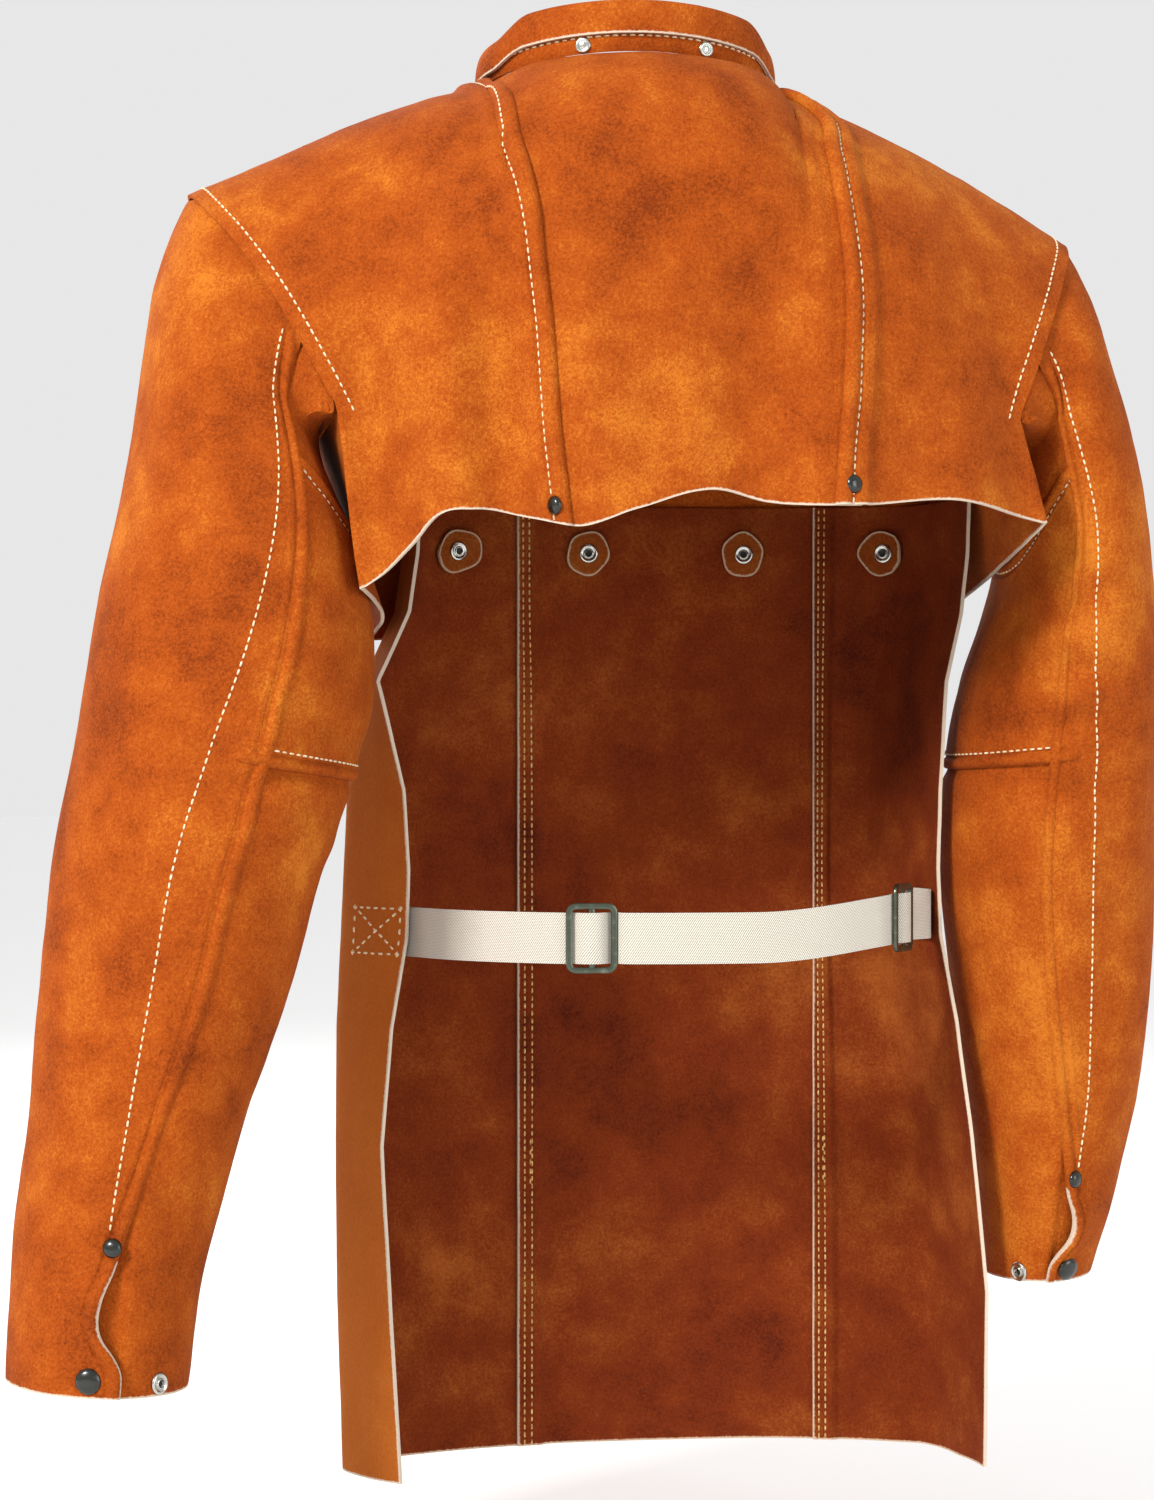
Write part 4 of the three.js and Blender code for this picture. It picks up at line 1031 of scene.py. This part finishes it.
# Bib
bibForm = {"top": -202, "length": 508, "half": 160, "wrap": 64, "seamLap": 12, "clear": 0.45}
bibSections = {
    "drop": [0, 0.06, 0.12, 0.19, 0.3, 0.38, 0.45, 0.54, 0.66, 0.82, 1],
    "edgeX": [-1.148, -1.14, -1.12, -1.072, -1.05, -1.045, -1.055, -1.11, -1.16, -1.214, -1.214],
    "edgeY": [-0.24, -0.24, -0.24, -0.24, -0.24, -0.24, -0.24, -0.24, -0.26, -0.3, -0.34],
    "sideX": [-1.13, -1.12, -1.1, -1.05, -1.03, -1.015, -1.02, -1.08, -1.14, -1.19, -1.19],
    "bendX": [0.65, 0.665, 0.69, 0.795, 0.843, 0.855, 0.865, 0.88, 0.882, 0.878, 0.86],
    "flapX": [0.63, 0.64, 0.67, 0.775, 0.69, 0.673, 0.68, 0.728, 0.757, 0.73, 0.697],
    "flapY": [-0.5, -0.5, -0.47, -0.4, -0.38, -0.38, -0.38, -0.38, -0.38, -0.38, -0.38],
}
bibSeams = {"right": -0.75, "left": 0.265, "lastAt": 9, "threads": (4.0, 8.2), "tack": 7.2}


def bibFrontY(x, z):
    return layer + bibForm["clear"] - bodyDepth(x, z, -1)


def bibControl(z):
    # ten places round the body at each level, from the right free edge to the left flap
    drop = (bibForm["top"] - z) / bibForm["length"]
    value = {k: np.interp(drop, bibSections["drop"], v) for k, v in bibSections.items() if k != "drop"}
    half, wrap = bibForm["half"], bibForm["wrap"]
    edgeX, sideX, bendX, flapX = (value[k] * half for k in ("edgeX", "sideX", "bendX", "flapX"))
    flapY = value["flapY"] * wrap
    right = bibSeams["right"] * half + 0 * z
    left = bibSeams["left"] * half + 0 * z
    xs = [edgeX, sideX, sideX + 0.1 * half, right, (right + left) / 2, left, bendX - 0.13 * half, bendX,
          mix(bendX, flapX, 0.42), flapX]
    ys = [value["edgeY"] * wrap, -0.72 * wrap + 0 * z] + [bibFrontY(x, z) for x in xs[2:7]]
    ys += [-1.02 * wrap + 0 * z, mix(-1.02 * wrap, flapY, 0.6), flapY]
    return np.stack(xs), np.stack(ys)


def bibPoint(at, z):
    # at and z are grids of one shape
    at, z = np.broadcast_arrays(np.asarray(at, float), np.asarray(z, float))
    xs, ys = bibControl(z.ravel())
    picked = np.arange(at.size)
    flat = at.ravel()
    i = np.clip(np.floor(flat).astype(int), 0, bibSeams["lastAt"] - 1)
    u = flat - i
    near = (np.maximum(i - 1, 0), i, i + 1, np.minimum(i + 2, bibSeams["lastAt"]))
    x, y = (between(*(c[at, picked] for at in near), u) for c in (xs, ys))
    onFront = (flat >= 2) & (flat <= 6)
    y = np.where(onFront, bibFrontY(x, z.ravel()), y)
    return np.stack([x, y, z.ravel()], axis=-1).reshape(at.shape + (3,))


def frontShare(distance):
    return distance * 2 / ((bibSeams["left"] - bibSeams["right"]) * bibForm["half"])


bibPanels = {
    "right": {"from": 0, "to": 3, "raw": "lrb", "width": 0.15},
    "center": {"from": 3, "to": 5, "raw": "rb", "width": 0.2},
    "left": {"from": 5, "to": 9, "raw": "rb", "width": 0.2},
}


def bibPanel(label):
    # a seamed end dips under the next panel, which starts a lap before the seam
    plan = bibPanels[label]
    start = plan["from"]
    end = plan["to"]
    lap = bibForm["seamLap"]
    if start > 0:
        start -= frontShare(lap)
    at = steps((start, end, 110))
    lift = 0 * at
    if end < bibSeams["lastAt"]:
        lapStart = end - frontShare(lap)
        rampStart = end - frontShare(lap + leather["ramp"])
        at = steps((start, rampStart, 60), (rampStart, lapStart, 8), (lapStart, end, 16))
        inward = (end - at) / frontShare(1.0)
        puff = 0.5 * np.sin(np.pi * clamp01(inward / bibSeams["threads"][0]))
        puff -= sum(0.5 * hump(inward, thread, 0.9) for thread in bibSeams["threads"])
        lift = -layer * (1 - smooth((inward - lap) / leather["ramp"])) - puff * (inward < lap)
    z = bibForm["top"] - bibForm["length"] * steps((0, 0.98, 190), (0.98, 1, 6))
    zGrid, atGrid = np.meshgrid(z, at, indexing="ij")
    # the inner faces take the flesh-side material, whose darker colour is partly painted shade
    obj = makeWall(
        "bib" + label.capitalize() + "Panel", [(bibPoint(atGrid, zGrid), lift, plan["raw"])],
        [bibOutside, fleshAndShade], relief=0.9, stretch=(1, 1, 0.4),
    )
    return dressSheet(obj, "bib_flesh", "bib_" + label + "_panel")


bib = {label: bibPanel(label) for label in bibPanels}
print("bib made")


# Sewing: each thread line is laid on a wall and cut into single stitches
stitch = {
    "pitch": 4.0, "length": 3.1, "radius": 0.52, "sides": 6, "sink": 0.1, "reach": 12,
    "along": [-0.5, -0.36, -0.12, 0.12, 0.36, 0.5],
    "girth": [0.3, 0.85, 1, 1, 0.85, 0.3],
    "rise": [-0.5, 0.15, 0.45, 0.45, 0.15, -0.5],
}
trees = {}


def treeOf(obj):
    if obj.name not in trees:
        points = [v.co for v in obj.data.vertices]
        trees[obj.name] = BVHTree.FromPolygons(points, [list(p.vertices) for p in obj.data.polygons])
    return trees[obj.name]


def smoothed(values):
    padded = np.concatenate([values[:1]] * 5 + [values] + [values[-1:]] * 5)
    return sum(padded[i:i + len(values)] for i in range(11)) / 11


def onSurface(surface, a, b, inside):
    # points on a surface and the way it faces there, away from what is inside
    a, b = np.broadcast_arrays(np.asarray(a, float), np.asarray(b, float))
    points = surface(a, b)
    facing = unit(np.cross(surface(a + 0.01, b) - points, surface(a, b + 0.01) - points))
    away = np.sum(facing * (points - np.array(inside)), axis=1, keepdims=True)
    return points, facing * np.where(away < 0, -1, 1)


def underThread(obj, points, facing):
    # the wall's outside, met along each guide point's own direction
    places = np.array(points, float)
    for i, (p, n) in enumerate(zip(places.tolist(), facing.tolist())):
        above = (Vector(p) + Vector(n) * stitch["reach"]) * mm
        hit = treeOf(obj).ray_cast(above, -Vector(n), 2 * stitch["reach"] * mm)
        if hit[0] is not None:
            places[i] = np.array(hit[0]) / mm
    return places


def spaced(points, facing, pitch):
    travelled = lengthsAlong(points)
    at = np.linspace(0, travelled[-1], max(2, int(travelled[-1] / pitch)))
    both = np.hstack([points, facing])
    along = np.stack([np.interp(at, travelled, column) for column in both.T], axis=1)
    return along[:, :3], unit(along[:, 3:])


def stitchMesh(places, facing, along, radius):
    turn = np.arange(stitch["sides"]) * 2 * np.pi / stitch["sides"]
    p, f, a, s = (v[:, None, None, :] for v in (places, facing, along, np.cross(along, facing)))
    reach, girth, rise = (np.array(stitch[key])[:, None, None] for key in ("along", "girth", "rise"))
    sine, cosine = (wave(turn)[:, None] for wave in (np.sin, np.cos))
    grid = p + a * reach * stitch["length"] + f * rise * radius + (f * sine + s * cosine) * girth * radius
    count, rings, around = grid.shape[:3]
    index = np.arange(count * rings * around).reshape(count, rings, around)
    a, b = index[:, :-1, :], index[:, 1:, :]
    quads = np.stack([a, b, np.roll(b, -1, axis=2), np.roll(a, -1, axis=2)], axis=-1)
    caps = index[:, 0, :].tolist() + index[:, -1, ::-1].tolist()
    return grid.reshape(-1, 3), quads.reshape(-1, 4).tolist() + caps


def sew(name, lines, look, slotName, radius=stitch["radius"]):
    # lines are (guide points, the way the wall faces there, the wall)
    points, faces = [], []
    for guide, guideFacing, obj in lines:
        at, facing = spaced(guide, smoothed(guideFacing), stitch["pitch"])
        places = underThread(obj, at, facing)
        along = np.gradient(places, axis=0)
        along = unit(along - facing * np.sum(along * facing, axis=1, keepdims=True))
        jitter = np.array([random.uniform(0.9, 1.08) for p in places])[:, None]
        grid, quads = stitchMesh(places - facing * stitch["sink"], facing, along * jitter, radius)
        offset = sum(len(p) for p in points)
        points.append(grid)
        faces += [[i + offset for i in f] for f in quads]
    obj = addMesh(name, np.concatenate(points), faces, [look])
    obj.data.polygons.foreach_set("use_smooth", [True] * len(obj.data.polygons))
    return dress(obj, slotName)


def bodyLine(side, face, rows, column):
    surface = partial(sidePanelPoint, side, face)
    return (*onSurface(surface, rows, column, (0, 0, -60)), sidePanels[side])


def sleeveLine(side, part, rows, angles):
    opposite = sleevePoint(side, rows, angles + 180)
    return (*onSurface(partial(sleevePoint, side), rows, angles, opposite), sleeves[side][part])


def bibLine(label, inside, at, z):
    return (*onSurface(bibPoint, at, z, inside), bib[label])


stitchIn = leather["stitchIn"]
armRows = np.linspace(0.5, 8.95, 160)
bodyLines = []
for side in sides:
    bodyLines.append(bodyLine(side, 1, np.linspace(0.7, 11.85, 200), stitchIn / leather["cover"]))
    for face in (1, -1):
        lastColumn = sideColumns + 0 * armRows
        edge = sidePanelPoint(side, face, armRows, lastColumn)
        width = np.linalg.norm(edge - sidePanelPoint(side, face, armRows, lastColumn - 1), axis=1)
        bodyLines.append(bodyLine(side, face, armRows, sideColumns - stitchIn / width))
bodyLines.append(bodyLine("left", -1, np.linspace(4.3, 11.9, 130), 0.35))
sew("bodyStitches", bodyLines, creamThread, "suede")

backRows = np.linspace(1.25, 8.8, 280)
frontRows = np.linspace(1.35, 9.9, 280)
underAngles = np.linspace(seamAngle(2.6) + 1, frontSeam - 3, 160)
for side in sides:
    lines = [
        sleeveLine(side, "outer", backRows, seamAngle(backRows) - girthAngle(backRows, stitchIn)),
        sleeveLine(side, "outer", frontRows, frontSeam + girthAngle(frontRows, stitchIn)),
        sleeveLine(side, "upper", gussetEdge(underAngles) + 0.1, underAngles),
        sleeveLine(side, "upper", seams["elbow"] - 0.16, underAngles),
    ]
    sew(side + "SleeveStitches", lines, creamThread, "suede")

collarAngles = np.linspace(160, -160, 300)
collarGuide = collarRing(collarAngles, 0.0, bandBase(collarAngles) + 0.72 * neck["bandHeight"])
collarTurn = np.radians(collarAngles)
radial = np.stack([np.sin(collarTurn), np.cos(collarTurn), 0 * collarTurn], axis=1)
sew("collarStitches", [(collarGuide, radial, collarBand)], creamThread, "suede")

bibLines = []
bibZ = bibForm["top"] - bibForm["length"] * np.linspace(0.004, 0.996, 200)
tackZ = np.linspace(-546, -567, 20)
for label in ("right", "center"):
    seamAt = bibPanels[label]["to"]
    threads = [(thread, bibZ) for thread in bibSeams["threads"]] + [(bibSeams["tack"], tackZ)]
    for distance, levels in threads:
        bibLines.append(bibLine(label, (0, -900, -450), seamAt - frontShare(distance), levels))
sew("bibStitches", bibLines, goldThread, "bib_flesh")

# the boxed cross that holds the strap's end on the bib's folded-back side
box = {"at": (7.6, 8.75), "level": (-415.5, -439.0), "radius": 0.6}
corners = [(box["at"][i], box["level"][j]) for i, j in ((0, 0), (1, 0), (1, 1), (0, 1))]
boxLines = []
for start, end in ((0, 1), (1, 2), (2, 3), (3, 0), (0, 2), (1, 3)):
    place, level = (mix(corners[start][i], corners[end][i], np.linspace(0, 1, 24)) for i in (0, 1))
    boxLines.append(bibLine("left", (-60, -60, -427), place, level))
sew("strapStitches", boxLines, creamThread, "bib_flesh", radius=box["radius"])
print("stitches sewn")


# Webbing strap
strap = {
    "width": 25.4, "thick": 1.5, "level": -427.5, "rise": 8,
    "front": [(116, -43), (104, -27), (94, -9), (79, 10), (59, 26)],
    "back": [(4, 46), (-30, 49), (-64, 47), (-98, 39), (-124, 26)],
    "anchor": [(-163.2, -19), (-161, -42)],
    "slider": (23.3, 42), "endSlider": (-143, 9), "endTurn": 57, "perSpan": 8,
}
slider = {"height": 35, "width": 26, "wire": 3.2, "thick": 2.4, "bar": 3.0, "corner": 5, "bevel": 0.7}


def strapHeight(x):
    return strap["level"] + strap["rise"] * smooth((-x - 60) / 95)


def strapPlans():
    clear = slider["thick"] / 2 + leather["gap"]
    under = -clear - strap["thick"] - 0.3
    outer = slider["width"] / 2 - slider["wire"] - 0.6
    inner = slider["bar"] / 2 + 1.6
    end = slider["width"] / 2 + 1
    weave = [(-end, under), (-outer, under), (-inner, clear), (inner, clear), (outer, under), (end, under)]
    at = strap["slider"]
    through = [(at[0] - forward, at[1] + out) for forward, out in weave]
    turn = math.radians(strap["endTurn"])
    along = (-math.cos(turn), -math.sin(turn))
    across = (-along[1], along[0])
    place = strap["endSlider"]

    def beside(forward, out):
        return (
            place[0] + along[0] * forward - across[0] * out,
            place[1] + along[1] * forward - across[1] * out,
        )

    main = strap["front"] + through + strap["back"] + [beside(f, o) for f, o in weave[:4]]
    anchor = [beside(outer, under), beside(end, under)] + strap["anchor"]
    return main, anchor


def webbingPiece(name, node, plan):
    spans = len(plan) - 1
    line = splineAt(plan, np.linspace(0, spans, strap["perSpan"] * spans + 1))
    across = steps((-0.5, -0.42, 2), (-0.42, 0.42, 8), (0.42, 0.5, 2))
    z = strapHeight(line[:, 0])[None, :] - (across * strap["width"])[:, None]
    points = np.stack([line[:, 0] + 0 * z, line[:, 1] + 0 * z, z], axis=-1)
    obj = makeWall(name, [(points, 0.0, "")], [webbing], thick=strap["thick"], relief=0.12)
    travelled = lengthsAlong(line)
    tree = pointTree(np.column_stack([line, 0 * line[:, 0]]))
    layerUv = obj.data.uv_layers.new(name="lengths")
    for loop in obj.data.loops:
        co = obj.data.vertices[loop.vertex_index].co / mm
        i = tree.find((co.x, co.y, 0))[1]
        layerUv.data[loop.index].uv = (travelled[i] * mm, (co.z - strapHeight(line[i, 0])) * mm)
    return dressSheet(obj, "webbing", node)


mainPlan, anchorPlan = strapPlans()
webbingPiece("waistStrap", "waist_strap", mainPlan)
webbingPiece("strapAnchor", "strap_anchor", anchorPlan)
print("webbing made")


# Hardware, each modelled once about +Z and copied to its places
seatDepth = 0.15


def deselect():
    bpy.ops.object.select_all(action="DESELECT")


def pickFaces(obj, test):
    bpy.ops.object.mode_set(mode="EDIT")
    bpy.ops.mesh.select_mode(type="FACE")
    bpy.ops.mesh.select_all(action="DESELECT")
    bpy.ops.object.mode_set(mode="OBJECT")
    for face in obj.data.polygons:
        face.select = test(face)
    bpy.ops.object.mode_set(mode="EDIT")


def finish(obj, bevel, look):
    # soft edges, its place in its mesh, and its metal
    bpy.ops.object.mode_set(mode="OBJECT")
    edge = obj.modifiers.new("Bevel", "BEVEL")
    edge.width = bevel * mm
    edge.segments = 2
    edge.limit_method = "ANGLE"
    bpy.ops.object.modifier_apply(modifier="Bevel")
    bpy.ops.object.transform_apply(location=True, rotation=True, scale=True)
    bpy.ops.object.shade_smooth_by_angle(angle=creaseAngle["metal"])
    obj.data.materials.clear()
    obj.data.materials.append(look)
    deselect()
    return obj


def roundPiece(form, look):
    # a disc whose top face is inset and raised or sunk in turn
    deselect()
    base = form["base"] * mm
    bpy.ops.mesh.primitive_cylinder_add(
        vertices=36, radius=form["radius"] * mm, depth=base, location=(0, 0, base / 2)
    )
    obj = bpy.context.object
    pickFaces(obj, lambda face: face.normal.z > 0.9)
    for inset, rise in form["steps"]:
        bpy.ops.mesh.inset(thickness=inset * mm, depth=0)
        bpy.ops.transform.translate(value=(0, 0, rise * mm))
    return finish(obj, form["bevel"], look)


def seatCopies(model, slotName, walls):
    # walls are by node: each copy sits on its wall where the node is, named as the node is
    for node, wall in walls.items():
        low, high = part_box(node)
        place, facing = treeOf(wall).find_nearest((Vector(low) + Vector(high)) / 2)[:2]
        turn = Vector((0, 0, 1)).rotation_difference(facing).to_matrix().to_4x4()
        mesh = model.data.copy()
        mesh.transform(Matrix.Translation(place - facing * seatDepth * mm) @ turn)
        words = node.split("_")
        obj = bpy.data.objects.new(words[0] + "".join(word.capitalize() for word in words[1:]), mesh)
        bpy.context.collection.objects.link(obj)
        dress(obj, slotName, node)
    bpy.data.objects.remove(model)


patch = {"radius": 11.8, "thick": 1.5, "drop": 0.05, "clear": 0.5, "across": [0.475, 0.02, -0.515, -0.98]}


def patchPiece(number, across):
    # a round of leather between the snap and the bib
    clear = patch["clear"] + 2.4 * (across + torso["lean"] / bibForm["half"]) ** 2
    z0 = bibForm["top"] - patch["drop"] * bibForm["length"]
    at = np.linspace(0, 8, 1601)
    line = bibPoint(at, z0)[:, 0]
    rising = at[np.searchsorted(line, across * bibForm["half"])]
    perMm = 0.05 / (np.interp(rising + 0.05, at, line) - np.interp(rising, at, line))
    share = np.linspace(0, 1, 9)[:, None]
    turn = np.linspace(0, 2 * np.pi, 61)[None, :]
    ragged = 1 + 0.045 * np.cos(2 * turn + number) + 0.03 * np.sin(5 * turn + 2 * number)
    reach = share * patch["radius"] * ragged
    points = bibPoint(rising + reach * np.cos(turn) * perMm, z0 + reach * np.sin(turn))
    lift = -leather["thick"] - clear - 0.4 * np.sin(np.pi * share) + 0 * turn
    name = "bibPatch" + str(number)
    obj = makeWall(name, [(points, lift, "b")], [patchHide], thick=patch["thick"], relief=0.3)
    return dressSheet(obj, "bib_flesh", "bib_patch_" + str(number))


patches = [patchPiece(i + 1, across) for i, across in enumerate(patch["across"])]

# each form's steps are how far its top is inset and then raised
capForm = {
    "radius": 6.2, "base": 0.6, "bevel": 0.25,
    "steps": [(0.5, 0.8), (1.3, 0.8), (2.0, 0.45), (1.4, 0.1)],
}
capWalls = {side + "_cuff_cap": sleeves[side]["outer"] for side in sides}
capWalls.update({"closure_cap_" + str(i): sidePanels["left"] for i in (1, 2, 3, 4)})
capWalls.update({"bib_cap_" + str(i): sidePanels["left" if i < 3 else "right"] for i in (1, 2, 3, 4)})
seatCopies(roundPiece(capForm, blackEnamel), "black_enamel", capWalls)

rivetForm = {
    "radius": 4.6, "base": 0.7, "bevel": 0.2,
    "steps": [(0.35, 0.9), (0.9, 0.8), (1.5, 0.45), (1.2, 0.1)],
}
rivetWalls = {side + "_back_rivet": sidePanels[side] for side in sides}
rivetWalls.update({side + "_cuff_rivet": sleeves[side]["outer"] for side in sides})
seatCopies(roundPiece(rivetForm, blackEnamel), "black_enamel", rivetWalls)

studForm = {
    "radius": 5.2, "base": 0.7, "bevel": 0.12, "hole": 1.9,
    "steps": [(0.35, 0.5), (0.7, 0.25), (0.5, -0.35), (0.9, -0.25), (0.35, 0.9), (0.4, 0.1), (0.3, -1.4)],
}
stud = roundPiece(studForm, nickel)
# the floor of the stud's hole takes the near-black painted shade
stud.data.materials.append(darkHole)
for face in stud.data.polygons:
    if face.normal.z > 0.9 and math.hypot(face.center.x, face.center.y) < studForm["hole"] * mm:
        face.material_index = 1
studWalls = {side + "_cuff_stud": sleeves[side]["lower"] for side in sides}
studWalls.update({"bib_post_" + str(i + 1): wall for i, wall in enumerate(patches)})
seatCopies(stud, "nickel", studWalls)

smallStudForm = {
    "radius": 3.9, "base": 0.5, "bevel": 0.1,
    "steps": [(0.3, 0.4), (0.8, 0.2), (0.9, -0.4), (0.6, 0.3)],
}
smallStudWalls = {side + "_collar_stud": collarBand for side in sides}
seatCopies(roundPiece(smallStudForm, nickel), "nickel", smallStudWalls)


def sizedPrimitive(add, size):
    deselect()
    add(size=1)
    bpy.ops.transform.resize(value=[s * mm for s in size])
    bpy.ops.object.transform_apply(location=False, rotation=False, scale=True)
    return bpy.context.object


def sliderPiece(name, place, turn, node):
    # a rounded frame of flat wire with a bar across it
    obj = sizedPrimitive(bpy.ops.mesh.primitive_plane_add, (slider["width"], slider["height"], 1))
    obj.name = name
    bpy.ops.object.mode_set(mode="EDIT")
    bpy.ops.mesh.select_all(action="SELECT")
    bpy.ops.mesh.bevel(offset=slider["corner"] * mm, segments=6, affect="VERTICES")
    bpy.ops.mesh.select_all(action="SELECT")
    bpy.ops.mesh.inset(thickness=slider["wire"] * mm, depth=0)
    bpy.ops.mesh.delete(type="FACE")
    bpy.ops.object.mode_set(mode="OBJECT")
    wall = obj.modifiers.new("Solidify", "SOLIDIFY")
    wall.thickness = slider["thick"] * mm
    wall.offset = 0
    bpy.ops.object.modifier_apply(modifier="Solidify")
    barSize = (slider["bar"], slider["height"] - 3, slider["thick"] * 0.85)
    sizedPrimitive(bpy.ops.mesh.primitive_cube_add, barSize)
    obj.select_set(True)
    bpy.context.view_layer.objects.active = obj
    bpy.ops.object.join()
    finish(obj, slider["bevel"], gunmetal)
    upright = Matrix.Rotation(math.radians(90), 4, "X")
    level = Vector((*place, float(strapHeight(np.array(place[0]))))) * mm
    obj.data.transform(Matrix.Translation(level) @ Matrix.Rotation(turn, 4, "Z") @ upright)
    return dress(obj, "gunmetal", node)


sliderPiece("strapSlider", strap["slider"], 0, "strap_slider")
sliderPiece("endSlider", strap["endSlider"], math.radians(strap["endTurn"]), "end_slider")
print("hardware made")


# Camera, light and floor
view = {"place": (0.260856, 1.680046, -0.334), "turn": 172, "lens": 80, "sensor": 36}
white = (1, 1, 1)
lights = {
    "keyLight": {"place": (2.1, 1.9, 1.3), "aim": -0.3, "size": 0.7, "power": 120, "colour": (1, 0.98, 0.95)},
    "fillLight": {"place": (-1.8, 1.9, 0.1), "aim": -0.35, "size": 1.2, "power": 22, "colour": white},
    "frontLight": {"place": (0.6, -2.2, 1.2), "aim": -0.3, "size": 1.6, "power": 26, "colour": white},
}
room = {"floor": -0.76, "floorSize": 40, "world": 0.8}


def putInScene(name, data, place, turn):
    obj = bpy.data.objects.new(name, data)
    bpy.context.collection.objects.link(obj)
    obj.location = place
    obj.rotation_euler = turn
    return obj


cameraData = bpy.data.cameras.new("camera")
cameraData.lens = view["lens"]
cameraData.sensor_fit = "VERTICAL"
cameraData.sensor_height = view["sensor"]
cameraData.sensor_width = view["sensor"]
cameraTurn = (math.radians(90), 0, math.radians(view["turn"]))
bpy.context.scene.camera = putInScene("camera", cameraData, view["place"], cameraTurn)

for name, lamp in lights.items():
    data = bpy.data.lights.new(name, "AREA")
    data.size = lamp["size"]
    data.energy = lamp["power"]
    data.color = lamp["colour"]
    aim = Vector((0, 0, lamp["aim"])) - Vector(lamp["place"])
    putInScene(name, data, lamp["place"], aim.to_track_quat("-Z", "Y").to_euler())

world = bpy.data.worlds.new("studio")
world.use_nodes = True
background = world.node_tree.nodes["Background"]
feed(world.node_tree, background.inputs, {"Color": (*white, 1), "Strength": room["world"]})
bpy.context.scene.world = world
bpy.context.scene.view_settings.view_transform = "Standard"

deselect()
bpy.ops.mesh.primitive_plane_add(size=room["floorSize"], location=(0, 0, room["floor"]))
floor = bpy.context.object
floor.name = "floor"
floorMaterial, floorTree, floorShader = newMaterial("paleFloor")
feed(floorTree, floorShader.inputs, {
    "Base Color": (0.8, 0.8, 0.8, 1), "Roughness": 0.9, "Emission Color": (*white, 1),
    "Emission Strength": 0.16,
})
floor.data.materials.append(floorMaterial)
print("camera, light and floor set")
